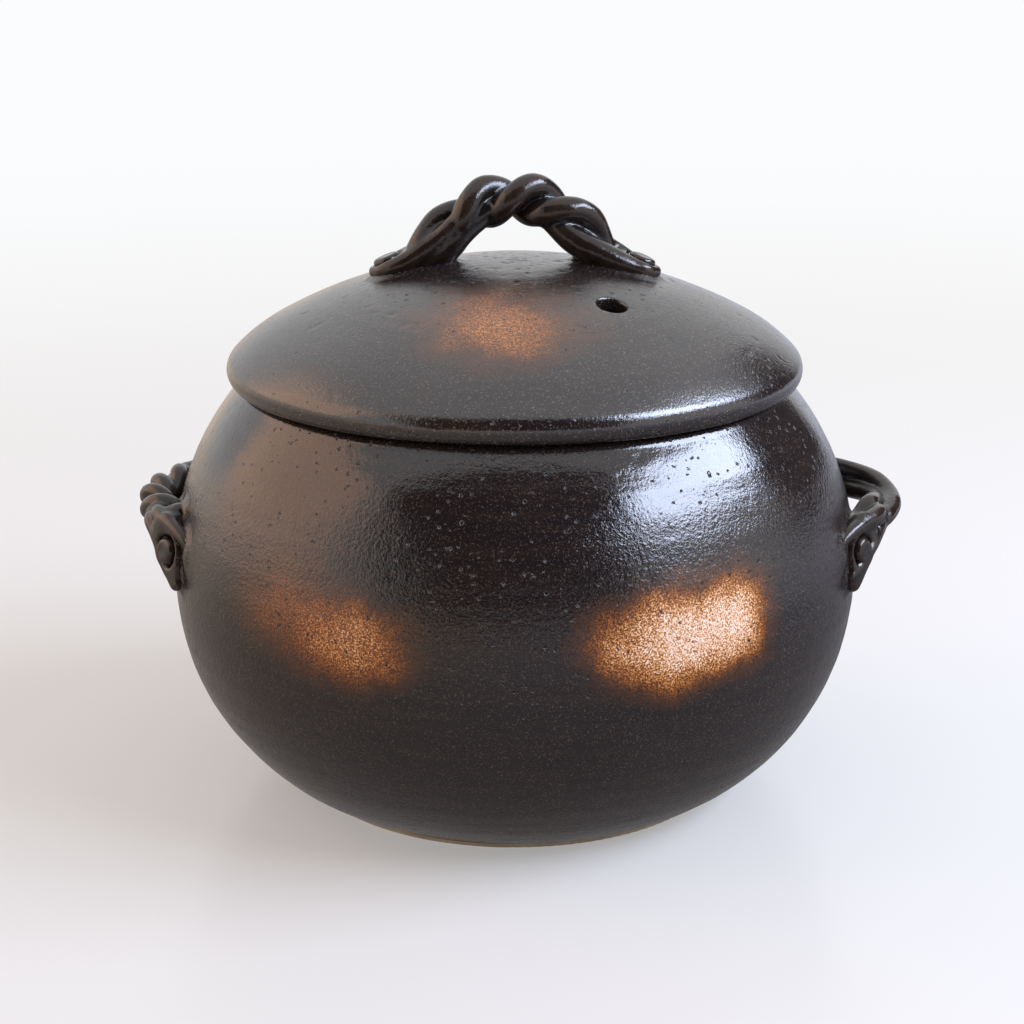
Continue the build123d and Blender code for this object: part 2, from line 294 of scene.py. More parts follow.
@dataclass(frozen=True)
class IronGlaze:
    """Iron glaze over coarse stoneware, sprayed and fired in a kiln: brown-black, glossy, pitted and gritty.

    The grit under the glaze breaks every highlight into sparks, and the glaze runs thinner and browner
    over the ridges that throwing left. Real grit and droplets of 0.2 to 0.3 mm are too fine to show, so
    they are drawn as coarse as they need to be to show. Lengths are in millimetres.
    """

    name: str = "iron_glaze_on_coarse_stoneware"
    dark: str = "#1d1819"
    brown: str = "#30251e"
    sand: str = "#5a4c42"
    flash_brown: str = "#4c2c18"
    flash_orange: str = "#96520f"
    flash_light: str = "#d89a5e"
    # The palest spray colour, reached most by the front right flashes, is partly painted sheen from the
    # window.
    flash_pale_and_sheen: str = "#f4ddcd"
    flash_starts: float = 0.05  # amount of spray at which the dark glaze begins to give way
    flash_stops: tuple[float, ...] = (0.34, 0.6, 0.85, 1.12)  # amounts at which the four colours are reached
    flash_edge: Point = (0.12, 1.12)  # where a flash fades out, as shares of its half sizes
    flash_ragged: float = 12.0  # size of the lobes along a flash's edge
    flash_ragged_share: float = 0.12
    flash_dullness: float = 0.16  # roughness that thick spray adds
    dull_from: Point = (0.1, 0.8)
    grit: float = 0.56  # grains under the glaze
    grit_shows: Point = (0.56, 0.7)
    grit_share: float = 0.8
    peel: float = 1.05  # lumps that the grains raise in the glaze
    speck: float = 0.48  # droplets of the sprayed glaze
    speck_shows: Point = (0.34, 0.66)
    speck_share: float = 0.38
    speck_from: Point = (0.0, 0.7)  # amounts of spray over which its droplets come in
    cloud: float = 22.0  # thicker and thinner places in the glaze
    thin_most: float = 0.6  # how brown the thinnest glaze is
    thin_least: float = 0.25  # how much of that is left where the glaze lies thick
    streak: float = 2.2  # height of one throwing streak
    streak_shows: Point = (0.35, 0.75)
    streak_stretch: float = 0.07  # streaks run this much slower round the pot than up it
    streak_depth: float = 0.06
    pinhole: float = 2.9  # distance between pinholes
    pinhole_reach: float = 0.21
    pinhole_ragged: float = 0.08
    # Pinholes and drags are coloured near black: painted shade in the hollows.
    pit_painted_shade: str = "#0b0808"
    pit_painted_shade_shows: Point = (0.0, 0.8)
    scratch: float = 2.8  # distance, up the wall, between dragged grains
    scratch_reach: float = 0.11
    scratch_stretch: float = 0.5  # and drags this much slower
    hollow_depth: float = 0.2
    gloss_index: float = 1.62
    roughness: float = 0.085
    roughness_swing: Point = (-0.03, 0.05)
    peel_depth: float = 0.2
    grit_depth: float = 0.09
    wiped_above: float = 104.0  # height from which the potter's rib wiped the shoulder smoother
    wiped_reach: float = 13.0
    wiped_share: float = 0.33
    smooth_beyond: float = 500.0  # distance from the axis at which the glaze runs smooth
    smooth_reach: float = 2.0
    smooth_relief: float = 0.12
    smooth_roughness: float = 0.4
    flashes: tuple[Flash, ...] = ()

    def flash_share(self, tree: bpy.types.NodeTree, point: Link) -> bpy.types.Node:
        """Give how much sprayed glaze lies at a place.

        Args:
            tree: The node tree.
            point: The place on the surface.

        Returns:
            From nothing to one.
        """
        lobes = add_node(tree, Kind.NOISE, {"Vector": point, **cloudy(self.flash_ragged, detail=3.0)})
        swing = (-self.flash_ragged_share, self.flash_ragged_share)
        ragged = add_node(tree, Kind.RANGE, {0: lobes, **spans(MIDDLE, swing)})
        total = None
        for flash in self.flashes:
            place = add_node(tree, Kind.MAPPING, {
                "vector_type": "TEXTURE", "Vector": point,
                "Location": (flash.across * MM, flash.deep * MM, flash.height * MM),
                "Scale": (flash.half_width * MM, flash.half_width * MM, flash.half_height * MM)})
            far = add_node(tree, Kind.VECTOR_SUM, {"operation": "LENGTH", 0: place}).outputs["Value"]
            uneven = add_node(tree, Kind.SUM, {"operation": "ADD", 0: far, 1: ragged})
            near = add_node(tree, Kind.RANGE, {"interpolation_type": "SMOOTHSTEP", 0: uneven,
                                               **spans(self.flash_edge, (flash.strength, 0.0))})
            if total is not None:
                near = add_node(tree, Kind.SUM, {"operation": "MAXIMUM", 0: total, 1: near})
            total = near
        outer = add_node(tree, Kind.STORED, {"attribute_name": "outside"}).outputs["Fac"]
        return add_node(tree, Kind.SUM, {"operation": "MULTIPLY", 0: total, 1: outer})

    def spray(self, tree: bpy.types.NodeTree, point: Link) -> bpy.types.Node:
        """Give the sprayed glaze with its droplets.

        Args:
            tree: The node tree.
            point: The place on the surface.

        Returns:
            How thick the spray lies, from less than nothing to more than one.
        """
        share = self.flash_share(tree, point)
        droplets = add_node(tree, Kind.NOISE, {"Vector": point, **cloudy(self.speck, roughness=0.6)})
        swing = (-self.speck_share, self.speck_share)
        specks = add_node(tree, Kind.RANGE, {0: droplets, **spans(self.speck_shows, swing)})
        within = add_node(tree, Kind.RANGE, {0: share, **spans(self.speck_from)})
        specks = add_node(tree, Kind.SUM, {"operation": "MULTIPLY", 0: specks, 1: within})
        return add_node(tree, Kind.SUM, {"operation": "ADD", 0: share, 1: specks})

    def hollows(self, tree: bpy.types.NodeTree, point: Link, grit: Link) -> bpy.types.Node:
        """Give the pinholes and the short drags that grains left under the rib.

        Args:
            tree: The node tree.
            point: The place on the surface.
            grit: The pattern of grains, which makes their edges uneven.

        Returns:
            Nothing in a hollow and one beside it.
        """
        swing = (-self.pinhole_ragged, self.pinhole_ragged)
        ragged = add_node(tree, Kind.RANGE, {0: grit, **spans(MIDDLE, swing)})
        holes = pitted(tree, point, self.pinhole, self.pinhole_reach, ragged)
        drawn_out = add_node(tree, Kind.VECTOR_SUM, {
            "operation": "MULTIPLY", 0: point, 1: (self.scratch_stretch, self.scratch_stretch, 1.0)})
        drags = pitted(tree, drawn_out, self.scratch, self.scratch_reach, ragged)
        return add_node(tree, Kind.SUM, {"operation": "MULTIPLY", 0: holes, 1: drags})

    def calm(self, tree: bpy.types.NodeTree, point: Link) -> tuple[bpy.types.Node, bpy.types.Node]:
        """Give where the surface was wiped and where the glaze ran smooth.

        Args:
            tree: The node tree.
            point: The place on the surface.

        Returns:
            How much of the grains' relief is left by the rib, and how much of all fine relief is left.
        """
        height = add_node(tree, Kind.SPLIT_VECTOR, {0: point}).outputs[2]
        edge = (self.wiped_above * MM, (self.wiped_above + self.wiped_reach) * MM)
        wiped = add_node(tree, Kind.RANGE, {"interpolation_type": "SMOOTHSTEP", 0: height,
                                            **spans(edge, (1.0, self.wiped_share))})
        level = add_node(tree, Kind.VECTOR_SUM, {"operation": "MULTIPLY", 0: point, 1: (1.0, 1.0, 0.0)})
        away = add_node(tree, Kind.VECTOR_SUM, {"operation": "LENGTH", 0: level}).outputs["Value"]
        edge = (self.smooth_beyond * MM, (self.smooth_beyond + self.smooth_reach) * MM)
        coarse = add_node(tree, Kind.RANGE, {0: away, **spans(edge, (1.0, self.smooth_relief))})
        return wiped, coarse

    def make(self) -> bpy.types.Material:
        """Build the material.

        Returns:
            The material.
        """
        material, tree = new_material(self.name)
        point = add_node(tree, Kind.PLACE, {}).outputs["Object"]
        grit = add_node(tree, Kind.NOISE, {"Vector": point, **cloudy(self.grit, detail=3.0, roughness=0.6)})
        peel = add_node(tree, Kind.NOISE, {"Vector": point, **cloudy(self.peel, roughness=0.55)})
        drawn_out = add_node(tree, Kind.VECTOR_SUM, {
            "operation": "MULTIPLY", 0: point, 1: (self.streak_stretch, self.streak_stretch, 1.0)})
        streaks = add_node(tree, Kind.NOISE, {"Vector": drawn_out, **cloudy(self.streak)})
        cloud = add_node(tree, Kind.NOISE, {"Vector": point, **cloudy(self.cloud, detail=3.0)})
        ridges = add_node(tree, Kind.RANGE, {0: streaks, **spans(self.streak_shows, (0.0, self.thin_most))})
        patches = add_node(tree, Kind.RANGE, {0: cloud, **spans(MIDDLE, (self.thin_least, 1.0))})
        thin = add_node(tree, Kind.SUM, {"operation": "MULTIPLY", 0: ridges, 1: patches})
        colour = add_node(tree, Kind.MIX, {
            "data_type": "RGBA", 0: thin, 6: self.dark, 7: self.brown}).outputs[2]
        colour = coloured(tree, grit, colour, self.sand, self.grit_shows, self.grit_share)
        swing = (self.roughness + self.roughness_swing[0], self.roughness + self.roughness_swing[1])
        roughness = add_node(tree, Kind.RANGE, {0: cloud, **spans(MIDDLE, swing)})
        if self.flashes:
            spray = self.spray(tree, point)
            start = self.flash_starts
            reached = (self.flash_brown, self.flash_orange, self.flash_light, self.flash_pale_and_sheen)
            for stop, following in zip(self.flash_stops, reached):
                colour = coloured(tree, spray, colour, following, (start, stop))
                start = stop
            duller = add_node(tree, Kind.RANGE, {
                0: spray, **spans(self.dull_from, (0.0, self.flash_dullness))})
            roughness = add_node(tree, Kind.SUM, {"operation": "ADD", 0: roughness, 1: duller})
        hollows = self.hollows(tree, point, grit)
        # Painted shade: pinholes and drags darken to near black.
        colour = coloured(tree, hollows, self.pit_painted_shade, colour, self.pit_painted_shade_shows)
        wiped, coarse = self.calm(tree, point)
        glossier = add_node(tree, Kind.RANGE, {
            0: coarse, **spans((self.smooth_relief, 1.0), (self.smooth_roughness, 1.0))})
        roughness = add_node(tree, Kind.SUM, {"operation": "MULTIPLY", 0: roughness, 1: glossier})
        reliefs = [(hollows, self.hollow_depth)]
        peel = add_node(tree, Kind.SUM, {"operation": "MULTIPLY", 0: peel, 1: wiped})
        grit = add_node(tree, Kind.SUM, {"operation": "MULTIPLY", 0: grit, 1: wiped})
        depths = (self.streak_depth, self.peel_depth, self.grit_depth)
        for pattern, depth in zip((streaks, peel, grit), depths):
            left = add_node(tree, Kind.SUM, {"operation": "MULTIPLY", 0: pattern, 1: coarse})
            reliefs.append((left, depth))
        shader = add_node(tree, Kind.GLOSSY, {"IOR": self.gloss_index, "Base Color": colour,
                                              "Roughness": roughness, "Normal": bumped(tree, tuple(reliefs))})
        add_node(tree, Kind.MATERIAL, {"Surface": shader})
        return material


@dataclass(frozen=True)
class HandleGlaze:
    """The same iron glaze on smooth rolled clay: even and wet-looking, brown on ridges, and painted black in
    the creases as shade.

    Lengths are in millimetres.
    """

    name: str = "iron_glaze_on_rolled_clay"
    dark: str = "#1a1412"
    brown: str = "#3c2a1d"
    brown_from: Point = (0.0, -0.6)  # hollowness from which a ridge grows brown, and at which it is
    crease_painted_shade: str = "#0b0807"
    crease_painted_shade_from: Point = (0.05, 0.6)  # hollowness from which a crease grows black as painted shade, and at which it is
    cloud: float = 6.0  # thicker and thinner places in the glaze
    cloud_shows: Point = (0.3, 0.65)
    cloud_least: float = 0.2
    cloud_depth: float = 0.25
    grit: float = 1.1
    grit_depth: float = 0.08
    gloss_index: float = 1.52
    roughness: float = 0.17
    roughness_swing: Point = (-0.05, 0.1)

    def make(self) -> bpy.types.Material:
        """Build the material.

        Returns:
            The material.
        """
        material, tree = new_material(self.name)
        point = add_node(tree, Kind.PLACE, {}).outputs["Object"]
        hollow = add_node(tree, Kind.STORED, {"attribute_name": "hollow"}).outputs["Fac"]
        cloud = add_node(tree, Kind.NOISE, {"Vector": point, **cloudy(self.cloud, detail=3.0)})
        standing = add_node(tree, Kind.RANGE, {0: hollow, **spans(self.brown_from)})
        patches = add_node(tree, Kind.RANGE, {0: cloud, **spans(self.cloud_shows, (self.cloud_least, 1.0))})
        ridge = add_node(tree, Kind.SUM, {"operation": "MULTIPLY", 0: standing, 1: patches})
        colour = add_node(tree, Kind.MIX, {
            "data_type": "RGBA", 0: ridge, 6: self.dark, 7: self.brown}).outputs[2]
        # Painted shade: the creases darken to near black.
        colour = coloured(tree, hollow, colour, self.crease_painted_shade, self.crease_painted_shade_from)
        grit = add_node(tree, Kind.NOISE, {"Vector": point, **cloudy(self.grit, detail=3.0, roughness=0.55)})
        normal = bumped(tree, ((grit, self.grit_depth), (cloud, self.cloud_depth)))
        swing = (self.roughness + self.roughness_swing[0], self.roughness + self.roughness_swing[1])
        roughness = add_node(tree, Kind.RANGE, {0: cloud, **spans(MIDDLE, swing)})
        shader = add_node(tree, Kind.GLOSSY, {"IOR": self.gloss_index, "Base Color": colour,
                                              "Roughness": roughness, "Normal": normal})
        add_node(tree, Kind.MATERIAL, {"Surface": shader})
        return material


@dataclass(frozen=True)
class BareClay:
    """Buff stoneware left bare at the foot, turned and sanded: pale, dry and sandy.

    Lengths are in millimetres.
    """

    name: str = "bare_buff_stoneware"
    pale: str = "#d3c1a6"
    tan: str = "#a88f70"
    sand: float = 0.6  # grains of about 0.3 mm, drawn coarser so that they show
    sand_shows: Point = (0.6, 0.8)
    sand_share: float = 0.7
    sand_depth: float = 0.12
    cloud: float = 12.0
    cloud_shows: Point = (0.35, 0.7)
    cloud_share: float = 0.6
    gloss_index: float = 1.5
    roughness: float = 0.85

    def make(self) -> bpy.types.Material:
        """Build the material.

        Returns:
            The material.
        """
        material, tree = new_material(self.name)
        point = add_node(tree, Kind.PLACE, {}).outputs["Object"]
        sand = add_node(tree, Kind.NOISE, {"Vector": point, **cloudy(self.sand, detail=3.0, roughness=0.65)})
        cloud = add_node(tree, Kind.NOISE, {"Vector": point, **cloudy(self.cloud, detail=3.0)})
        colour = coloured(tree, cloud, self.pale, self.tan, self.cloud_shows, self.cloud_share)
        colour = coloured(tree, sand, colour, self.tan, self.sand_shows, self.sand_share)
        normal = bumped(tree, ((sand, self.sand_depth),))
        shader = add_node(tree, Kind.GLOSSY, {"IOR": self.gloss_index, "Roughness": self.roughness,
                                              "Base Color": colour, "Normal": normal})
        add_node(tree, Kind.MATERIAL, {"Surface": shader})
        return material


@dataclass
class Outline:
    """Half of a turned wall's section, drawn from the axis outwards, in millimetres."""

    legs: list[np.ndarray] = field(default_factory=list)
    faces: list[Face] = field(default_factory=list)
    cuts: list[float] = field(default_factory=list)
    corner_run: float = 1.6  # a rounded corner's length, beside its cut
    corner_step: float = 0.7  # between the points of a small rounded corner
    corner_steps: float = 8.0  # how many of a large corner's steps make up its cut
    nearest: float = 0.05  # points nearer than this to a shortened end are left out

    def leg(self, points: list[Point], face: Face, cut: float) -> None:
        """Add a stretch of the outline.

        Args:
            points: Its points.
            face: Whether it is seen.
            cut: How far from the corner before it the rounding starts on both sides.
        """
        self.legs.append(np.array(points, float))
        self.faces.append(face)
        self.cuts.append(cut)

    def line(self, start: Point, end: Point, step: float, face: Face, cut: float = 0.0) -> None:
        """Add a straight stretch.

        Args:
            start: Its first point.
            end: Its last point.
            step: The distance between its points.
            face: Whether it is seen.
            cut: How far from the corner before it the rounding starts.
        """
        count = max(1, round(math.dist(start, end) / step))
        self.leg([(start[0] + (end[0] - start[0]) * i / count, start[1] + (end[1] - start[1]) * i / count)
                  for i in range(count + 1)], face, cut)

    def arc(self, centre: Point, radius: float, angles: Point, step: float, face: Face,
            cut: float = 0.0) -> None:
        """Add a round stretch.

        Args:
            centre: The arc's centre.
            radius: The arc's radius.
            angles: Its first and last angle.
            step: The distance between its points.
            face: Whether it is seen.
            cut: How far from the corner before it the rounding starts.
        """
        first, last = angles
        count = max(2, round(abs(math.radians(last - first)) * radius / step))
        steps = [first + (last - first) * i / count for i in range(count + 1)]
        self.leg([polar(centre, radius, angle) for angle in steps], face, cut)

    def trimmed(self, leg: np.ndarray, start: float, end: float) -> np.ndarray:
        """Shorten a stretch at both ends.

        Args:
            leg: Its points.
            start: How much goes at its start.
            end: How much goes at its end.

        Returns:
            The shorter stretch.
        """
        run = np.concatenate(([0.0], np.cumsum(np.linalg.norm(np.diff(leg, axis=0), axis=1))))
        first, last = start, run[-1] - end
        inner = run[(run > first + self.nearest) & (run < last - self.nearest)]
        places = np.concatenate(([first], inner, [last]))
        return np.stack([np.interp(places, run, leg[:, k]) for k in (0, 1)], axis=1)

    def points(self) -> tuple[np.ndarray, np.ndarray]:
        """Give the whole outline with its corners rounded.

        Returns:
            The points, and for each whether it is seen.
        """
        found, seen = [], []
        ends = self.cuts[1:] + [0.0]
        for leg, face, cut, end in zip(self.legs, self.faces, self.cuts, ends):
            short = self.trimmed(leg, cut, end)
            if found and cut > 0:
                corner, before, after = leg[0], found[-1], short[0]
                step = max(self.corner_step, cut / self.corner_steps)
                count = max(2, round(cut * self.corner_run / step))
                for i in range(1, count):
                    t = i / count
                    found.append(before * (1 - t) ** 2 + corner * 2 * t * (1 - t) + after * t ** 2)
                    seen.append(face.value)
                found.append(after)
                seen.append(face.value)
            for point in short[1 if found else 0:]:
                found.append(point)
                seen.append(face.value)
        return np.array(found), np.array(seen)


@dataclass
class Relief:
    """Unevenness of a thrown wall: rings, sand and pinholes, in millimetres."""

    seed: int
    ring_spacing: float = 4.2
    ring_depth: float = 0.09
    ring_length: float = 55.0
    sand_size: float = 2.7
    sand_depth: float = 0.04
    wave_size: float = 38.0
    wave_depth: float = 0.3
    pit_spacing: float = 17.0
    pit_radius: float = 1.2
    pit_depth: float = 0.22
    seed_step: float = 10.0  # how far apart in the noise two walls with neighbouring seeds lie
    fine_frequency: float = 1.9
    fine_share: float = 0.5
    sunk_share: float = 0.5  # of the rings' and waves' depth, by which the whole skin is sunk
    point_area: float = 1.3  # square millimetres of wall for each of its points
    pit_depths: Point = (0.3, 1.2)  # shallowest and deepest, as shares of the pits' depth
    drag_length: float = 2.2  # how many widths longer than wide the longest drag is
    drag_rarity: int = 4  # the higher, the fewer the long drags

    def height(self, point: Vector, run: float) -> float:
        """Give the relief at a place, without pits.

        Args:
            point: The place, in millimetres.
            run: The distance along the outline.

        Returns:
            The height in millimetres.
        """
        offset = self.seed * self.seed_step
        ring = noise.noise(Vector((point.x / self.ring_length + offset, point.y / self.ring_length,
                                   run / self.ring_spacing)))
        sand = noise.noise(point / self.sand_size + Vector((offset, 0, 0)))
        fine = noise.noise(point / self.sand_size * self.fine_frequency + Vector((0, offset, 0)))
        wave = noise.noise(point / self.wave_size + Vector((0, 0, offset)))
        grains = (sand + fine * self.fine_share) * self.sand_depth
        total = ring * self.ring_depth + grains + wave * self.wave_depth
        return total - (self.ring_depth + self.wave_depth) * self.sunk_share

    def pits(self, points: np.ndarray) -> np.ndarray:
        """Give how deep pinholes and short scratches press in the wall.

        Args:
            points: The wall's points, in millimetres.

        Returns:
            The depth at each point.
        """
        rng = np.random.default_rng(self.seed)
        area = len(points) * self.point_area
        chosen = rng.choice(len(points), int(area / self.pit_spacing ** 2), replace=False)
        tree = KDTree(len(chosen))
        for i, k in enumerate(chosen):
            tree.insert(points[k], i)
        tree.balance()
        depths = self.pit_depth * rng.uniform(*self.pit_depths, len(chosen))
        lengths = 1 + self.drag_length * rng.random(len(chosen)) ** self.drag_rarity
        found = np.zeros(len(points))
        for k, point in enumerate(points):
            for centre, i, _ in tree.find_range(point, self.pit_radius * (1 + self.drag_length)):
                away = Vector(point) - centre
                round_way = Vector((-centre.y, centre.x, 0)).normalized()
                along = away.dot(round_way)
                share = math.sqrt(max(away.length_squared - along ** 2, 0) + (along / lengths[i]) ** 2)
                share /= self.pit_radius
                if share < 1:
                    found[k] = min(found[k], -depths[i] * (1 - share ** 2) ** 2)
        return found


def make_object(name: str, mesh: bpy.types.Mesh) -> bpy.types.Object:
    """Put a mesh into the scene as a smooth piece.

    Args:
        name: The piece's name.
        mesh: Its mesh.

    Returns:
        The piece.
    """
    made = bpy.data.objects.new(name, mesh)
    bpy.context.scene.collection.objects.link(made)
    mesh.polygons.foreach_set("use_smooth", [True] * len(mesh.polygons))
    return made


def set_attribute(mesh: bpy.types.Mesh, name: str, values: np.ndarray) -> None:
    """Store one number for each point of a mesh.

    Args:
        mesh: The mesh.
        name: The attribute's name.
        values: The numbers.
    """
    attribute = mesh.attributes.new(name, "FLOAT", "POINT")
    attribute.data.foreach_set("value", values.astype(np.float32))


@dataclass
class TurnedWall:
    """A wall thrown on the wheel, from its outline, with the relief that hands leave, in millimetres."""

    name: str
    outline: Outline
    relief: Relief
    segments: int
    joins: tuple[bpy.types.Object, ...] = ()
    join_reach: float = 3.4  # how far from a handle the wall's clay begins to climb
    join_rise: float = 1.5  # how far it climbs there
    calm_beyond: float = 500.0  # distance from the axis at which the relief grows calm
    calm_reach: float = 3.0
    calm_share: float = 0.25  # of the relief, left beyond

    def bead(self, point: Vector, trees: list[BVHTree]) -> float:
        """Give how far clay and glaze climb towards a handle's foot.

        Args:
            point: The place, in millimetres.
            trees: The handles' surfaces.

        Returns:
            The rise in millimetres.
        """
        rise = 0.0
        for tree in trees:
            hit = tree.find_nearest(point * MM, self.join_reach * MM)
            if hit[0] is not None:
                rise = max(rise, self.join_rise * (1 - hit[3] / (self.join_reach * MM)) ** 2)
        return rise

    def grid(self, section: np.ndarray) -> tuple[np.ndarray, np.ndarray]:
        """Turn the outline round the axis.

        Args:
            section: The outline's points.

        Returns:
            The wall's points, ring after ring without the two ends on the axis, and the way out at each.
        """
        slope = np.gradient(section, axis=0)
        normal = np.stack([slope[:, 1], -slope[:, 0]], axis=1)
        normal /= np.linalg.norm(normal, axis=1)[:, None]
        turn = np.arange(self.segments) * 2 * math.pi / self.segments
        ring = np.stack([np.cos(turn), np.sin(turn), np.zeros(self.segments)], axis=1)
        up = np.array([0, 0, 1.0])
        rows = section[1:-1]
        base = rows[:, None, 0, None] * ring[None] + rows[:, None, 1, None] * up
        way = normal[1:-1, None, 0, None] * ring[None] + normal[1:-1, None, 1, None] * up
        return base.reshape(-1, 3), way.reshape(-1, 3)

    def rises(self, section: np.ndarray, base: np.ndarray, weight: np.ndarray) -> np.ndarray:
        """Give how far the wall stands out of its outline at each point.

        Args:
            section: The outline's points.
            base: The wall's points.
            weight: Above nothing where the wall is seen.

        Returns:
            The rises in millimetres.
        """
        run = np.concatenate(([0.0], np.cumsum(np.linalg.norm(np.diff(section, axis=0), axis=1))))
        runs = np.repeat(run[1:-1], self.segments)
        trees = [BVHTree.FromObject(o, bpy.context.evaluated_depsgraph_get()) for o in self.joins]
        rise = np.zeros(len(base))
        outer = np.flatnonzero(weight > 0)
        for k in outer:
            point = Vector(base[k])
            rise[k] = self.relief.height(point, runs[k]) + self.bead(point, trees)
        rise[outer] += self.relief.pits(base[outer])
        beyond = np.hypot(base[:, 0], base[:, 1]) - self.calm_beyond
        return rise * (1 - (1 - self.calm_share) * np.clip(beyond / self.calm_reach, 0, 1))

    def build(self) -> bpy.types.Object:
        """Make the wall's closed mesh.

        Returns:
            The piece.
        """
        section, seen = self.outline.points()
        base, way = self.grid(section)
        weight = np.repeat(seen[1:-1], self.segments)
        rise = self.rises(section, base, weight)
        points = base + way * rise[:, None]
        first, last = (0, 0, section[0, 1]), (0, 0, section[-1, 1] + rise[-self.segments:].mean())
        everything = np.vstack([[first], points, [last]]) * MM
        mesh = bpy.data.meshes.new(self.name)
        mesh.from_pydata(everything.tolist(), [], self.faces(len(section) - 2))
        set_attribute(mesh, "outside", np.concatenate(([0.0], weight, [seen[-1]])))
        return make_object(self.name, mesh)

    def faces(self, rows: int) -> list[tuple[int, ...]]:
        """Give the wall's faces.

        Args:
            rows: How many rings of points it has between its two ends on the axis.

        Returns:
            The numbers of each face's points.
        """
        n, last = self.segments, rows * self.segments + 1
        found: list[tuple[int, ...]] = []
        for j in range(n):
            k = (j + 1) % n
            found.append((0, 1 + k, 1 + j))
            found.append((last, last - n + j, last - n + k))
            for i in range(rows - 1):
                a, b = 1 + i * n, 1 + (i + 1) * n
                found.append((a + j, a + k, b + k, b + j))
        return found


@dataclass
class PotBody:
    """The thrown pot: round belly, even walls, rounded rim and a recessed foot, in millimetres."""

    belly_height: float = 70.5
    belly_curve_radius: float = 88.0
    lower_curve_radius: float = 72.0
    lower_curve_start_angle: float = 20.0
    wall: float = 8.0
    edge_cut: float = 0.5
    rim_cut: float = 3.2
    rim_step: float = 2.0
    floor_cut: float = 15.0
    foot_gap: float = 0.1
    fine_step: float = 1.32
    plain_step: float = 9.0
    segments: int = 540

    def outline(self) -> Outline:
        """Draw the pot's section.

        Returns:
            The outline, from the middle of the underside to the middle of the floor inside.
        """
        low, high = (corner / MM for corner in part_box("pot_body"))
        foot_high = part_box("foot_ring")[1] / MM
        belly_centre = (high.x - self.belly_curve_radius, self.belly_height)
        start = -self.lower_curve_start_angle
        lower_start = polar(belly_centre, self.belly_curve_radius, start)
        lower_centre = polar(lower_start, -self.lower_curve_radius, start)
        edge_angle = angle_at_height(lower_centre, self.lower_curve_radius, low.z)
        rim_angle = angle_at_height(belly_centre, self.belly_curve_radius, high.z)
        inner_belly, inner_lower = self.belly_curve_radius - self.wall, self.lower_curve_radius - self.wall
        mouth_angle = angle_at_height(belly_centre, inner_belly, high.z)
        floor_height = foot_high.z + self.wall
        floor_angle = angle_at_height(lower_centre, inner_lower, floor_height)
        seat = foot_high.x + self.foot_gap
        edge = polar(lower_centre, self.lower_curve_radius, edge_angle)
        drawn = Outline()
        drawn.line((0, foot_high.z), (seat, foot_high.z), self.plain_step, Face.INSIDE)
        drawn.line((seat, foot_high.z), (seat, low.z), self.plain_step, Face.INSIDE)
        drawn.line((seat, low.z), edge, self.fine_step, Face.INSIDE)
        drawn.arc(lower_centre, self.lower_curve_radius, (edge_angle, start), self.fine_step, Face.OUTSIDE,
                  self.edge_cut)
        drawn.arc(belly_centre, self.belly_curve_radius, (start, rim_angle), self.fine_step, Face.OUTSIDE)
        rim = polar(belly_centre, self.belly_curve_radius, rim_angle)
        mouth = polar(belly_centre, inner_belly, mouth_angle)
        drawn.line(rim, mouth, self.rim_step, Face.INSIDE, self.rim_cut)
        drawn.arc(belly_centre, inner_belly, (mouth_angle, start), self.plain_step, Face.INSIDE, self.rim_cut)
        drawn.arc(lower_centre, inner_lower, (start, floor_angle), self.plain_step, Face.INSIDE)
        floor_start = polar(lower_centre, inner_lower, floor_angle)
        drawn.line(floor_start, (0, floor_height), self.plain_step, Face.INSIDE, self.floor_cut)
        return drawn

    def build(self, glaze: bpy.types.Material, handles: tuple[bpy.types.Object, ...]) -> bpy.types.Object:
        """Make the pot, dressed.

        Args:
            glaze: Its finish.
            handles: The side handles, which the clay is luted up to.

        Returns:
            The piece.
        """
        wall = TurnedWall("pot_wall", self.outline(), Relief(seed=3), self.segments, handles).build()
        wall.data.materials.append(glaze)
        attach(wall, "pot")
        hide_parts("pot_body")
        return wall


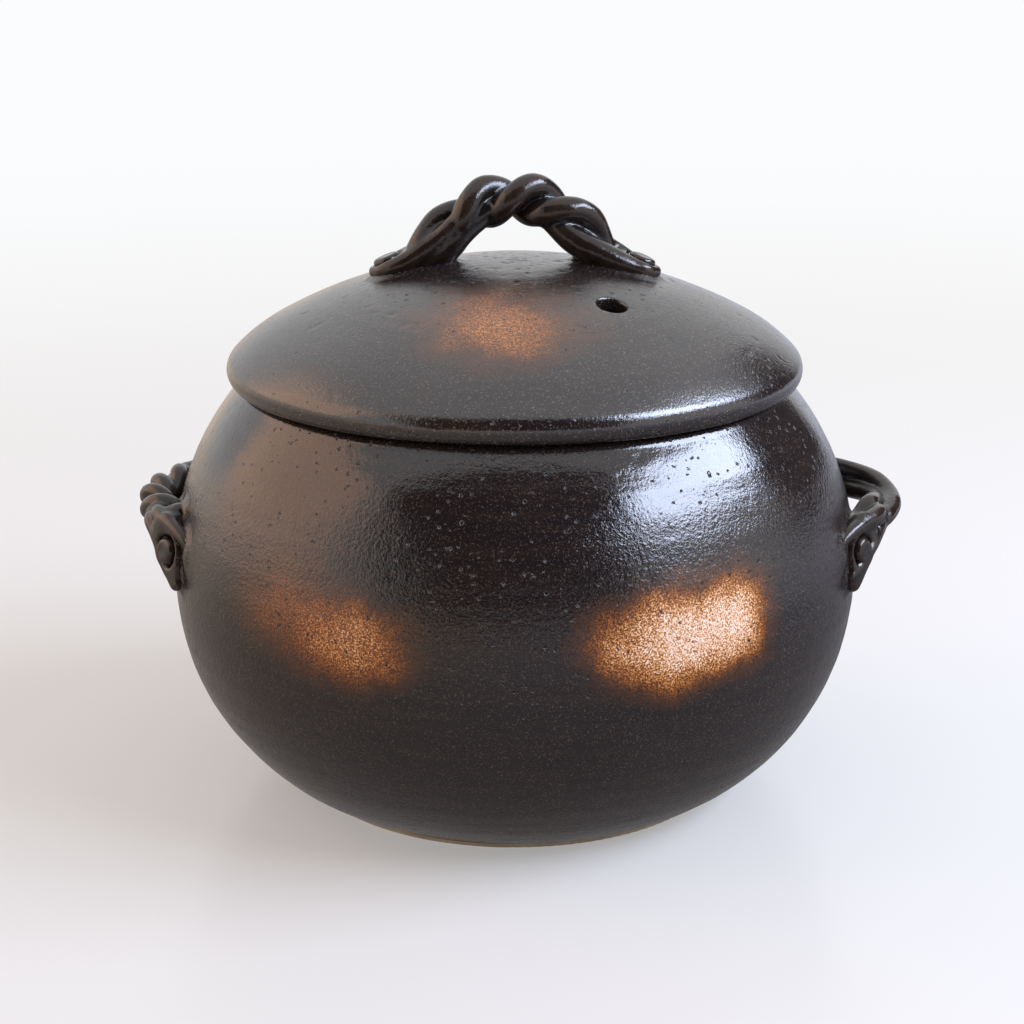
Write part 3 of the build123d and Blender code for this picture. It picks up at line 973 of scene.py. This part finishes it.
@dataclass
class Lid:
    """The thrown lid: low dome, bevelled edge, round lip, flange below and steam hole, in millimetres."""

    seat_gap: float = 0.2
    crown_curve_radius: float = 160.0
    crown_reach: float = 76.0
    bevel_curve_radius: float = 50.0
    bevel_end_angle: float = 46.0
    lip_round: float = 6.0
    wall: float = 8.0
    flange_outer_radius: float = 71.9
    flange_thickness: float = 6.0
    flange_root_cut: float = 1.6
    flange_tip_cut: float = 2.2
    flange_step: float = 3.0
    flange_tip_step: float = 2.0
    inner_cut: float = 7.0
    inner_step: float = 8.0
    dome_steps: int = 3  # the dome's inside has this many points in one inner step
    lip_cut: float = 0.6
    lip_step: float = 0.8
    fine_step: float = 1.15
    segments: int = 600
    hole_round: float = 0.9
    hole_round_steps: int = 6
    hole_sides: int = 64
    hole_clearing: float = 1.3  # the lid's skin is cut back this far round the hole and bridged to it
    calm_beyond: float = 89.5  # distance from the axis at which the relief grows calm

    def outline(self) -> Outline:
        """Draw the lid's section.

        Returns:
            The outline, from the middle of the underside to the middle of the top.
        """
        low, high = (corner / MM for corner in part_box("lid_shell"))
        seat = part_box("pot_body")[1].z / MM + self.seat_gap
        crown_centre = (0.0, high.z - self.crown_curve_radius)
        crown_end = 90 - math.degrees(math.asin(self.crown_reach / self.crown_curve_radius))
        bevel_start = polar(crown_centre, self.crown_curve_radius, crown_end)
        bevel_centre = polar(bevel_start, -self.bevel_curve_radius, crown_end)
        lip_start = 90 - self.bevel_end_angle
        bevel_end = polar(bevel_centre, self.bevel_curve_radius, lip_start)
        lip_centre = polar(bevel_end, -self.lip_round, lip_start)
        lip_end = angle_at_height(lip_centre, self.lip_round, seat)
        inner_radius = self.crown_curve_radius - self.wall
        flange_inner = self.flange_outer_radius - self.flange_thickness
        inner_angle = math.degrees(math.acos(flange_inner / inner_radius))
        inner_end = polar(crown_centre, inner_radius, inner_angle)
        tip_inner, tip_outer = (flange_inner, low.z), (self.flange_outer_radius, low.z)
        root, lip = (self.flange_outer_radius, seat), polar(lip_centre, self.lip_round, lip_end)
        drawn = Outline()
        dome_step = self.inner_step / self.dome_steps
        drawn.arc(crown_centre, inner_radius, (90.0, inner_angle), dome_step, Face.INSIDE)
        drawn.line(inner_end, tip_inner, self.inner_step, Face.INSIDE, self.inner_cut)
        drawn.line(tip_inner, tip_outer, self.flange_tip_step, Face.INSIDE, self.flange_tip_cut)
        drawn.line(tip_outer, root, self.flange_step, Face.INSIDE, self.flange_tip_cut)
        drawn.line(root, lip, self.flange_step, Face.INSIDE, self.flange_root_cut)
        drawn.arc(lip_centre, self.lip_round, (lip_end, lip_start), self.lip_step, Face.OUTSIDE, self.lip_cut)
        drawn.arc(bevel_centre, self.bevel_curve_radius, (lip_start, crown_end), self.fine_step, Face.OUTSIDE)
        drawn.arc(crown_centre, self.crown_curve_radius, (crown_end, 90.0), self.fine_step, Face.OUTSIDE)
        return drawn

    def pierce(self, lid: bpy.types.Object) -> None:
        """Open the steam hole through the lid, with softly rounded edges.

        Args:
            lid: The lid, still whole.
        """
        mount = next(m for m in frame["record"]["mounts"] if m["name"] == "steam_hole")
        axis = Vector(mount["axis"]).normalized()
        centre = Vector(mount["pos_m"])
        radius, length = mount["dims"]["r_mm"] * MM, mount["dims"]["length_mm"] * MM
        bevel = self.hole_round * MM
        across = axis.cross(Vector((0, 1, 0))).normalized()
        deep = axis.cross(across)
        work = bmesh.new()
        work.from_mesh(lid.data)
        layer = work.verts.layers.float["outside"]
        tree = BVHTree.FromBMesh(work)
        turns = [2 * math.pi * i / self.hole_sides for i in range(self.hole_sides)]
        ways = [across * math.cos(t) + deep * math.sin(t) for t in turns]

        def ring(out: float, depth: float, above: bool) -> list[bmesh.types.BMVert]:
            """Lay one ring of points round the hole.

            Args:
                out: How far outside the hole's radius it lies, in metres.
                depth: How far below the lid's skin it lies, in metres.
                above: Whether that is the top skin or the one below.

            Returns:
                The points in order.
            """
            found = []
            for way in ways:
                start = centre + way * (radius + out) + axis * (length if above else -length)
                hit = tree.ray_cast(start, -axis if above else axis)[0]
                vert = work.verts.new(hit + axis * (-depth if above else depth))
                vert[layer] = 1.0 if above else 0.0
                found.append(vert)
            return found

        steps = [math.radians(90 * i / self.hole_round_steps) for i in range(self.hole_round_steps + 1)]
        rings = [ring(bevel * (1 - math.sin(a)), bevel * (1 - math.cos(a)), True) for a in steps]
        rings += [ring(bevel * (1 - math.sin(a)), bevel * (1 - math.cos(a)), False) for a in reversed(steps)]
        for upper, lower in zip(rings, rings[1:]):
            for i in range(self.hole_sides):
                k = (i + 1) % self.hole_sides
                work.faces.new((upper[i], lower[i], lower[k], upper[k]))
        made = set(f for r in rings for v in r for f in v.link_faces)
        reach = radius + bevel + self.hole_clearing * MM
        gone = []
        for f in work.faces:
            away = f.calc_center_median() - centre
            along = away.dot(axis)
            if f not in made and (away - axis * along).length < reach and along > -length * 2:
                gone.append(f)
        bmesh.ops.delete(work, geom=gone, context="FACES")
        rims = [e for e in work.edges if e.is_boundary]
        for above in (True, False):
            side = [e for e in rims if ((e.verts[0].co - centre).dot(axis) > 0) == above]
            bmesh.ops.bridge_loops(work, edges=side)
        bmesh.ops.recalc_face_normals(work, faces=work.faces[:])
        work.to_mesh(lid.data)
        work.free()
        lid.data.polygons.foreach_set("use_smooth", [True] * len(lid.data.polygons))

    def build(self, glaze: bpy.types.Material, handle: bpy.types.Object) -> bpy.types.Object:
        """Make the lid, dressed.

        Args:
            glaze: Its finish.
            handle: The twisted handle on it.

        Returns:
            The piece.
        """
        relief = Relief(seed=7, ring_spacing=3.4, ring_depth=0.05, ring_length=45.0, sand_depth=0.02)
        wall = TurnedWall("lid_wall", self.outline(), relief, self.segments, (handle,),
                          calm_beyond=self.calm_beyond).build()
        self.pierce(wall)
        wall.data.materials.append(glaze)
        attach(wall, "lid")
        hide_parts("lid_shell")
        return wall


@dataclass(frozen=True)
class ClayRoll:
    """A tapering roll of clay along a curved line, with rounded ends, in millimetres."""

    points: Route
    radii: tuple[float, ...]
    beside: tuple[float, float, float] = (0.0, 1.0, 0.0)  # a way that the line never runs, to square it up by
    sides: int = 24
    rings: int = 30
    round_rings: int = 3  # at each end
    end_share: float = 0.2  # of the radius, left at the very end

    def place(self, share: float) -> np.ndarray:
        """Give the roll's middle and radius at a share of its length.

        Args:
            share: From nothing at its start to one at its end.

        Returns:
            The middle's place and the radius, on a smooth curve through the points.
        """
        values = np.array([(*p, r) for p, r in zip(self.points, self.radii)])
        last = len(values) - 1
        number = min(int(share * last), last - 1)
        t = share * last - number
        a, b, c, d = (values[min(max(number + k, 0), last)] for k in (-1, 0, 1, 2))
        return 0.5 * (2 * b + (c - a) * t + (2 * a - 5 * b + 4 * c - d) * t ** 2
                      + (3 * b - a - 3 * c + d) * t ** 3)

    def add_to(self, work: bmesh.types.BMesh) -> None:
        """Add the roll's closed skin to a mesh.

        Args:
            work: The mesh.
        """
        places = [self.place(i / self.rings) for i in range(self.rings + 1)]
        for i, place in enumerate(places):
            inwards = min(min(i, self.rings - i) / self.round_rings, 1.0)
            place[3] *= max(math.sqrt(1 - (1 - inwards) ** 2), self.end_share)
        rings = []
        for i, place in enumerate(places):
            ahead, behind = places[min(i + 1, self.rings)], places[max(i - 1, 0)]
            along = Vector(ahead[:3] - behind[:3]).normalized()
            across = along.cross(Vector(self.beside)).normalized()
            deep = along.cross(across)
            ring = []
            for k in range(self.sides):
                turn = 2 * math.pi * k / self.sides
                way = across * math.cos(turn) + deep * math.sin(turn)
                ring.append(work.verts.new((Vector(place[:3]) + way * place[3]) * MM))
            rings.append(ring)
        for lower, upper in zip(rings, rings[1:]):
            for k in range(self.sides):
                j = (k + 1) % self.sides
                work.faces.new((lower[k], lower[j], upper[j], upper[k]))
        work.faces.new(rings[0][::-1])
        work.faces.new(rings[-1])


@dataclass(frozen=True)
class PadEase:
    """How the lid's pads thin out: inner ends sink under the coils and tips draw in, in millimetres."""

    crown_top: float
    kind: str = "lug"  # a word in the names of the pieces that it moves
    crown_radius: float = 160.0
    middle: float = 38.7  # of the button's recess, from the lid's axis
    recess_reach: float = 5.7
    inner_length: float = 8.0
    inner_width: float = 0.5  # share of the width that is left at the inner end
    inner_height: float = 0.35  # share of the height that is left there
    tip_length: float = 8.6
    tip_share: float = 0.8  # share of the tip's length that is left
    tip_height: float = 0.85  # share of the height that is left at the tip

    def crown(self, across: float, deep: float) -> float:
        """Give the height of the lid's crown at a place."""
        rise = math.sqrt(self.crown_radius ** 2 - across ** 2 - deep ** 2)
        return self.crown_top - self.crown_radius + rise

    def moved(self, point: Vector) -> Vector:
        """Give where a point of a pad goes.

        Args:
            point: The point, in metres.

        Returns:
            Its new place, in metres.
        """
        across, deep, height = point / MM
        away = abs(across)
        rise = height - self.crown(across, deep)
        inner = min(max((self.middle - self.recess_reach - away) / self.inner_length, 0.0), 1.0)
        outer = min(max((away - self.middle) / self.tip_length, 0.0), 1.0)
        if rise > 0:
            rise *= (1 - (1 - self.inner_height) * inner) * (1 - (1 - self.tip_height) * outer)
        deep *= 1 - (1 - self.inner_width) * inner
        away -= max(away - self.middle, 0.0) * (1 - self.tip_share)
        across = math.copysign(away, across)
        return Vector((across, deep, self.crown(across, deep) + rise)) * MM


@dataclass(frozen=True)
class CoilSag:
    """How far the right handle's upper coil sinks where it runs on to the front pad, in millimetres."""

    kind: str = "strand"  # a word in the names of the pieces that it moves
    start: float = 16.0  # how far in front of the handle's middle it begins to sink
    length: float = 9.0  # and the distance over which it sinks
    down: float = 4.0
    low: float = 86.5  # height up to which nothing sinks
    rise: float = 3.0  # and the height above that over which the sinking comes in

    def moved(self, point: Vector) -> Vector:
        """Give where a point of a coil goes.

        Args:
            point: The point, in metres.

        Returns:
            Its new place, in metres.
        """
        across, deep, height = point / MM
        share = min(max((-deep - self.start) / self.length, 0.0), 1.0)
        upper = min(max((height - self.low) / self.rise, 0.0), 1.0)
        return Vector((across, deep, height - self.down * share ** 2 * (3 - 2 * share) * upper)) * MM


@dataclass
class RolledClay:
    """Clay pieces pressed together while soft: coils and pads that run into one another, in millimetres."""

    name: str
    nodes: tuple[str, ...]
    body: str
    rolls: tuple[ClayRoll, ...] = ()
    ease: PadEase | CoilSag | None = None
    swell: float = 0.05  # so that pieces with a fitting gap meet
    voxel: float = 0.42
    passes: int = 10  # of smoothing
    dent_size: float = 8.0
    dent_depth: float = 0.3
    dent_middle: float = 0.45  # the higher, the more the dents press in and the less they stand out
    seed: int = 1
    seed_step: float = 7.3  # how far apart in the noise two pieces with neighbouring seeds lie
    weld: float = 0.002  # points nearer than this become one
    relax: float = 0.5  # how far one pass moves a point towards its neighbours' middle
    crease_passes: int = 14
    crease_depth: float = 0.5  # how far below the smoothed surface a full crease lies

    def rough_shape(self) -> bpy.types.Object:
        """Gather the pieces and rolls, the pieces a little swollen so that they meet.

        Returns:
            The unpressed shape.
        """
        mesh = bpy.data.meshes.new(self.name)
        whole = bmesh.new()
        for node in self.nodes:
            part = bmesh.new()
            part.from_mesh(frame["nodes"][node].data)
            bmesh.ops.remove_doubles(part, verts=part.verts[:], dist=self.weld * MM)
            part.normal_update()
            for vert in part.verts:
                vert.co += vert.normal * self.swell * MM
                if self.ease and self.ease.kind in node:
                    vert.co = self.ease.moved(vert.co)
            spare = bpy.data.meshes.new("spare")
            part.to_mesh(spare)
            whole.from_mesh(spare)
            part.free()
            bpy.data.meshes.remove(spare)
        for roll in self.rolls:
            roll.add_to(whole)
        whole.to_mesh(mesh)
        whole.free()
        return make_object(self.name, mesh)

    def build(self, glaze: bpy.types.Material) -> bpy.types.Object:
        """Press the pieces into one, soften the creases and dress it.

        Args:
            glaze: Its finish.

        Returns:
            The piece.
        """
        rough = self.rough_shape()
        remesh = rough.modifiers.new("pressed", "REMESH")
        remesh.mode = "VOXEL"
        remesh.voxel_size = self.voxel * MM
        evaluated = rough.evaluated_get(bpy.context.evaluated_depsgraph_get())
        mesh = bpy.data.meshes.new_from_object(evaluated)
        bpy.data.objects.remove(rough)
        points = np.zeros(len(mesh.vertices) * 3)
        mesh.vertices.foreach_get("co", points)
        points = points.reshape(-1, 3)
        edges = np.zeros(len(mesh.edges) * 2, int)
        mesh.edges.foreach_get("vertices", edges)
        edges = edges.reshape(-1, 2)
        count = np.bincount(edges.ravel(), minlength=len(points))[:, None]

        def average(values: np.ndarray) -> np.ndarray:
            """Give the middle of each point's neighbours.

            Args:
                values: The points.

            Returns:
                The middles.
            """
            total = np.zeros_like(values)
            np.add.at(total, edges[:, 0], values[edges[:, 1]])
            np.add.at(total, edges[:, 1], values[edges[:, 0]])
            return total / count

        for _ in range(self.passes):
            points += (average(points) - points) * self.relax
        offset = Vector((self.seed * self.seed_step, 0, 0))
        mesh.vertices.foreach_set("co", points.ravel())
        mesh.update()
        normals = np.zeros(len(points) * 3)
        mesh.vertices.foreach_get("normal", normals)
        normals = normals.reshape(-1, 3)
        dents = np.array([noise.noise(Vector(p) / (self.dent_size * MM) + offset) for p in points])
        points += normals * ((dents - self.dent_middle) * self.dent_depth * MM)[:, None]
        smooth = points.copy()
        for _ in range(self.crease_passes):
            smooth = average(smooth)
        hollow = np.einsum("ij,ij->i", smooth - points, normals) / (self.crease_depth * MM)
        mesh.vertices.foreach_set("co", points.ravel())
        mesh.update()
        set_attribute(mesh, "hollow", np.clip(hollow, -1, 1))
        mesh.name = self.name
        piece = make_object(self.name, mesh)
        mesh.materials.clear()
        mesh.materials.append(glaze)
        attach(piece, self.body)
        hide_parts(*self.nodes)
        return piece


@dataclass
class TwistedHandle:
    """A handle of two twisted coils, each end pressed flat into a pad with a clay button.

    A route is the middle line of a roll in which a coil runs out along its pad, from the twist to the
    pad's tip: across, deep and height in millimetres, for one of the handle's ends. At each end of the
    lid's handle one coil fans out in three rolls and the other runs out in a single thick one.
    """

    side: Side
    seed: int
    fanned_routes: tuple[Route, ...] = (
        ((14.7, 4.2, 182.5), (18.5, 4.6, 178.6), (22.5, 4.9, 174.6), (28.0, 5.1, 170.4), (34.5, 5.5, 166.6),
         (40.0, 4.6, 164.0), (43.0, 1.8, 162.5)),
        ((5.0, 1.0, 183.5), (9.5, 2.6, 180.3), (14.0, 3.4, 176.8), (18.5, 3.6, 172.6), (21.5, 3.2, 168.6),
         (23.0, 2.8, 165.0)),
        ((5.5, 2.6, 184.8), (11.5, 3.2, 180.2), (17.0, 3.8, 175.6), (22.0, 4.0, 171.6), (27.0, 4.0, 168.2),
         (31.0, 3.6, 166.0)))
    fanned_radii: tuple[tuple[float, ...], ...] = (
        (2.4, 3.0, 3.4, 3.5, 3.2, 2.6, 1.9), (2.4, 3.0, 3.4, 3.7, 3.7, 3.4),
        (2.9, 3.5, 3.9, 4.1, 3.9, 3.4))
    single_routes: tuple[Route, ...] = (
        ((4.0, 1.0, 183.5), (9.5, 2.8, 180.4), (14.5, 3.4, 176.5), (19.5, 4.0, 172.7), (25.0, 4.6, 170.0),
         (30.5, 5.0, 167.6), (36.0, 5.0, 165.7), (40.5, 4.2, 163.8), (43.0, 1.8, 162.5)),)
    single_radii: tuple[tuple[float, ...], ...] = ((2.2, 3.3, 4.1, 4.6, 4.5, 4.0, 3.2, 2.6, 1.9),)
    right_routes: tuple[Route, ...] = (
        ((114.8, 13.5, 87.9), (113.5, 19.4, 86.9), (111.4, 25.4, 85.4), (108.3, 31.0, 81.9),
         (103.9, 37.2, 77.9), (101.3, 40.4, 75.7)),
        ((114.0, 16.7, 90.8), (111.5, 24.2, 91.6), (106.6, 31.2, 91.2), (101.8, 37.0, 89.8),
         (98.6, 40.4, 86.8), (97.8, 41.8, 82.5), (97.4, 42.4, 78.0)))
    left_routes: tuple[Route, ...] = (
        ((112.3, 15.4, 89.4), (112.4, 21.9, 88.9), (108.8, 29.0, 83.5), (106.2, 34.0, 76.5),
         (101.9, 40.8, 73.5)),
        ((111.0, 16.7, 91.4), (109.5, 24.2, 92.2), (105.6, 31.2, 91.4), (101.8, 37.0, 89.8),
         (98.6, 40.4, 86.8), (97.8, 41.8, 82.5), (97.4, 42.4, 78.0)))
    side_radii: tuple[tuple[float, ...], ...] = (
        (3.0, 2.9, 2.7, 2.4, 2.0, 1.6), (2.8, 2.9, 2.7, 2.4, 2.0, 1.5, 0.9))
    side_beside: Point = (0.75, 0.65)  # outwards, away from the pot's wall

    @property
    def body(self) -> str:
        """The body that the handle moves with."""
        return "lid" if self.side is Side.LID else "pot"

    def nodes(self, kind: str) -> tuple[str, ...]:
        """Give the handle's frame nodes of one kind.

        Args:
            kind: A word in the nodes' names.

        Returns:
            Their names in order.
        """
        return tuple(n for n in sorted(frame["nodes"]) if n.startswith(self.side.value) and kind in n)

    def splays(self) -> tuple[ClayRoll, ...]:
        """Give the rolls in which the coils run out along their pads.

        Returns:
            The rolls, at both ends of the handle.
        """
        ways = {Side.LID: (-1, 1), Side.RIGHT: (1,), Side.LEFT: (-1,)}[self.side]
        found = []
        for way in ways:
            for deep in (-1, 1):
                beside = (way * self.side_beside[0], deep * self.side_beside[1], 0.0)
                if self.side is Side.RIGHT:
                    routes, radii = self.right_routes, self.side_radii
                elif self.side is Side.LEFT:
                    routes, radii = self.left_routes, self.side_radii
                else:
                    beside = (0.0, 1.0, 0.0)
                    fanned = way == deep
                    routes = self.fanned_routes if fanned else self.single_routes
                    radii = self.fanned_radii if fanned else self.single_radii
                for route, thickness in zip(routes, radii):
                    points = tuple((way * across, deep * aside, height) for across, aside, height in route)
                    found.append(ClayRoll(points, thickness[-len(points):], beside))
        return tuple(found)

    def build(self, glaze: bpy.types.Material) -> bpy.types.Object:
        """Make the handle and its buttons, dressed.

        Args:
            glaze: Their finish.

        Returns:
            The handle.
        """
        eases = {Side.LID: PadEase(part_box("lid_shell")[1].z / MM), Side.RIGHT: CoilSag(), Side.LEFT: None}
        twist = RolledClay(self.side.value + "_twist", self.nodes("strand") + self.nodes("lug"), self.body,
                           self.splays(), eases[self.side], passes=15, seed=self.seed).build(glaze)
        for number, node in enumerate(self.nodes("button")):
            RolledClay(node + "_clay", (node,), self.body, swell=0.15, voxel=0.3, passes=8, dent_size=4.0,
                       dent_depth=0.25, dent_middle=0.0, seed=self.seed * 10 + number).build(glaze)
            LOG.info("button %s", node)
        return twist


@dataclass(frozen=True)
class Lamp:
    """A soft rectangular light that faces the object, in metres and watts."""

    name: str
    size: Point
    place: tuple[float, float, float]
    energy: float
    colour: str


@dataclass(frozen=True)
class Card:
    """A matt card beside the set, for the glaze to reflect, in metres."""

    name: str
    size: Point
    place: tuple[float, float, float]
    colour: str


@dataclass
class Studio:
    """Pale floor, white background, a window at the right, a warm wall at the left and the camera."""

    camera_distance: float = 0.655
    camera_height: float = 0.2831
    camera_shift: float = -0.0008
    camera_pitch: float = 16.81
    camera_lens: float = 50.0
    camera_sensor: float = 24.0
    floor_reach: float = 14.0
    floor_colour: str = "#dfdcd9"
    floor_roughness: float = 0.24
    floor_index: float = 1.45
    seen_colour: str = "#f3f2f1"  # of the floor's even light near the object
    seen_share: float = 0.34  # how much of the near floor is even light, free of shadows
    seen_fades: Point = (0.25, 0.9)  # distances between which even light takes over
    far_colour: str = "#fbfcfe"
    far_fades: Point = (0.3, 1.6)
    painted_reflection_under_object: float = 0.26  # painted shade: how light the floor's painted reflection in the glaze is under the object
    painted_reflection_fades: Point = (0.15, 1.1)
    painted_reflection_middle: tuple[float, float, float] = (0.12, 0.0, 0.0)
    # The floor's painted reflection is warm at the left and cool at the right.
    painted_reflection_warm: str = "#ffeddc"
    painted_reflection_cool: str = "#e9eeff"
    painted_reflection_sides_fade: Point = (-0.3, 0.3)
    room_colour: str = "#f6f4f2"
    room_strength: float = 0.64
    background_colour: str = "#fcfdff"
    lamp_aim: tuple[float, float, float] = (0.0, 0.0, 0.09)
    card_aim: tuple[float, float, float] = (0.0, 0.0, 0.1)
    lamps: tuple[Lamp, ...] = (
        Lamp("window", (1.32, 0.5), (1.165, -0.3, 0.98), 34.0, "#d6e3ff"),
        Lamp("warm_wall", (2.0, 1.5), (-1.7, 0.1, 0.85), 13.0, "#ffb478"))
    cards: tuple[Card, ...] = (
        Card("dark_card", (3.2, 2.4), (0.0, -1.7, 0.9), "#272322"),
        Card("dark_side_card", (1.5, 1.3), (1.45, 1.0, 0.5), "#3a3634"))

    def camera(self) -> None:
        """Set the camera at the photograph's angle."""
        lens = bpy.data.cameras.new("camera")
        lens.lens = self.camera_lens
        lens.sensor_width = self.camera_sensor
        made = bpy.data.objects.new("camera", lens)
        bpy.context.scene.collection.objects.link(made)
        made.location = (self.camera_shift, -self.camera_distance, self.camera_height)
        made.rotation_euler = (math.radians(90 - self.camera_pitch), 0, 0)
        bpy.context.scene.camera = made

    def sheet(self, name: str, width: float, height: float, material: bpy.types.Material) -> bpy.types.Object:
        """Add one flat sheet to the set.

        Args:
            name: The sheet's name.
            width: Its width in metres.
            height: Its height in metres.
            material: Its material.

        Returns:
            The sheet, level and in the middle.
        """
        w, h = width / 2, height / 2
        mesh = bpy.data.meshes.new(name)
        mesh.from_pydata([(-w, -h, 0), (w, -h, 0), (w, h, 0), (-w, h, 0)], [], [(0, 1, 2, 3)])
        mesh.materials.append(material)
        made = make_object(name, mesh)
        return made

    def card(self, card: Card) -> None:
        """Stand a card so that it faces the object, seen only as a reflection.

        Args:
            card: The card.
        """
        material, tree = new_material(card.name)
        add_node(tree, Kind.MATERIAL, {"Surface": add_node(tree, Kind.MATT, {"Color": card.colour})})
        made = self.sheet(card.name, *card.size, material)
        made.location = card.place
        away = Vector(self.card_aim) - Vector(card.place)
        made.rotation_euler = away.to_track_quat("Z", "Y").to_euler()
        made.visible_camera = False
        made.visible_diffuse = False
        made.visible_shadow = False

    def floor_finish(self) -> bpy.types.Material:
        """Build the floor's material: pale, softly glossy, fading to even white at the back, and seen in the
        glaze as a painted reflection.

        Returns:
            The material.
        """
        material, tree = new_material("pale_floor")
        point = add_node(tree, Kind.PLACE, {}).outputs["Object"]
        path = add_node(tree, Kind.RAY, {})
        shader = add_node(tree, Kind.GLOSSY, {
            "Roughness": self.floor_roughness, "IOR": self.floor_index, "Base Color": self.floor_colour})
        away = add_node(tree, Kind.VECTOR_SUM, {"operation": "LENGTH", 0: point}).outputs["Value"]
        even = add_node(tree, Kind.RANGE, {
            "interpolation_type": "SMOOTHSTEP", 0: away, **spans(self.seen_fades, (self.seen_share, 1.0))})
        seen = add_node(tree, Kind.SUM, {
            "operation": "MULTIPLY", 0: path.outputs["Is Camera Ray"], 1: even})
        pale = coloured(tree, away, self.seen_colour, self.far_colour, self.far_fades, smooth=True)
        white = add_node(tree, Kind.GLOW, {"Strength": 1.0, "Color": pale})
        mixed = add_node(tree, Kind.MIX_SHADER, {0: seen, 1: shader, 2: white})
        # Painted reflection: in the glaze the floor is a glow, dimmed under the object as painted shade and
        # tinted warm at the left and cool at the right.
        aside = add_node(tree, Kind.VECTOR_SUM, {"operation": "DISTANCE", 0: point, 1: self.painted_reflection_middle})
        strength = add_node(tree, Kind.RANGE, {
            0: aside.outputs["Value"], **spans(self.painted_reflection_fades, (self.painted_reflection_under_object, 1.0))})
        sideways = add_node(tree, Kind.SPLIT_VECTOR, {0: point})
        painted_reflection_tint = coloured(tree, sideways, self.painted_reflection_warm, self.painted_reflection_cool, self.painted_reflection_sides_fade)
        painted_reflection = add_node(tree, Kind.GLOW, {"Color": painted_reflection_tint, "Strength": strength})
        mixed = add_node(tree, Kind.MIX_SHADER, {0: path.outputs["Is Glossy Ray"], 1: mixed, 2: painted_reflection})
        add_node(tree, Kind.MATERIAL, {"Surface": mixed})
        return material

    def world(self) -> None:
        """Light the set evenly, with a white background."""
        world = bpy.data.worlds.new("soft_room")
        bpy.context.scene.world = world
        world.use_nodes = True
        tree = world.node_tree
        tree.nodes.clear()
        path = add_node(tree, Kind.RAY, {})
        seen = add_node(tree, Kind.SUM, {
            "operation": "MAXIMUM", 0: path.outputs["Is Camera Ray"], 1: path.outputs["Is Glossy Ray"]})
        seen = add_node(tree, Kind.SUM, {
            "operation": "MAXIMUM", 0: seen, 1: path.outputs["Is Transmission Ray"]})
        light = add_node(tree, Kind.BACKGROUND, {"Color": self.room_colour, "Strength": self.room_strength})
        white = add_node(tree, Kind.BACKGROUND, {"Color": self.background_colour, "Strength": 1.0})
        mixed = add_node(tree, Kind.MIX_SHADER, {0: seen, 1: light, 2: white})
        add_node(tree, Kind.WORLD, {"Surface": mixed})

    def lamp(self, lamp: Lamp) -> None:
        """Hang a light.

        Args:
            lamp: The light.
        """
        light = bpy.data.lights.new(lamp.name, "AREA")
        light.shape = "RECTANGLE"
        light.size, light.size_y = lamp.size
        light.energy = lamp.energy
        light.color = linear(lamp.colour)[:3]
        made = bpy.data.objects.new(lamp.name, light)
        bpy.context.scene.collection.objects.link(made)
        made.location = lamp.place
        away = Vector(self.lamp_aim) - Vector(lamp.place)
        made.rotation_euler = away.to_track_quat("-Z", "Y").to_euler()

    def build(self) -> None:
        """Set up the whole studio."""
        self.camera()
        self.sheet("floor", self.floor_reach * 2, self.floor_reach * 2, self.floor_finish())
        self.world()
        for lamp in self.lamps:
            self.lamp(lamp)
        for card in self.cards:
            self.card(card)
        bpy.context.scene.view_settings.view_transform = "Standard"


POT_FLASHES = (
    Flash(-47.2, -97.5, 76.9, 29.0, 20.0, 0.62),  # front left: three that overlap
    Flash(-54.5, -93.5, 79.2, 32.0, 20.5, 0.52),
    Flash(-61.9, -88.4, 81.6, 34.0, 21.0, 0.42),
    Flash(58.2, -91.5, 79.4, 29.0, 21.5, 0.92),  # front right: three that overlap, sprayed stronger than the left so that their pale core is partly painted sheen from the window
    Flash(49.0, -96.8, 77.8, 32.0, 22.0, 0.93),
    Flash(41.5, -100.2, 76.6, 31.0, 20.0, 0.84),
    Flash(-58.0, 92.0, 78.0, 34.0, 21.0, 0.64),  # the back's two
    Flash(55.0, 93.0, 80.0, 36.0, 23.0, 0.8))
LID_FLASHES = (
    Flash(-4.2, -54.0, 157.5, 36.0, 18.5, 0.52),  # front
    Flash(8.0, 58.0, 157.0, 34.0, 19.0, 0.54))  # back


def main() -> None:
    """Build every piece in order."""
    logging.basicConfig(level=logging.INFO, format="%(name)s %(message)s")
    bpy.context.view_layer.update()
    handle_glaze = HandleGlaze().make()
    handles = {}
    for seed, side in enumerate(Side, start=1):
        handles[side] = TwistedHandle(side, seed).build(handle_glaze)
        LOG.info("handle %s", side.value)
    pot_glaze = IronGlaze(name="iron_glaze_on_pot", flashes=POT_FLASHES).make()
    PotBody().build(pot_glaze, (handles[Side.LEFT], handles[Side.RIGHT]))
    LOG.info("pot wall")
    lid_glaze = IronGlaze(
        name="iron_glaze_on_lid", sand="#685b50", grit=0.68, gloss_index=1.78, roughness=0.17,
        peel_depth=0.06, grit_depth=0.11, wiped_above=500.0, smooth_beyond=88.5, flashes=LID_FLASHES).make()
    Lid().build(lid_glaze, handles[Side.LID])
    LOG.info("lid wall")
    foot = frame["nodes"]["foot_ring"]
    foot.data.materials.clear()
    foot.data.materials.append(BareClay().make())
    LOG.info("foot ring")
    Studio().build()


if __name__ == "__main__":
    main()
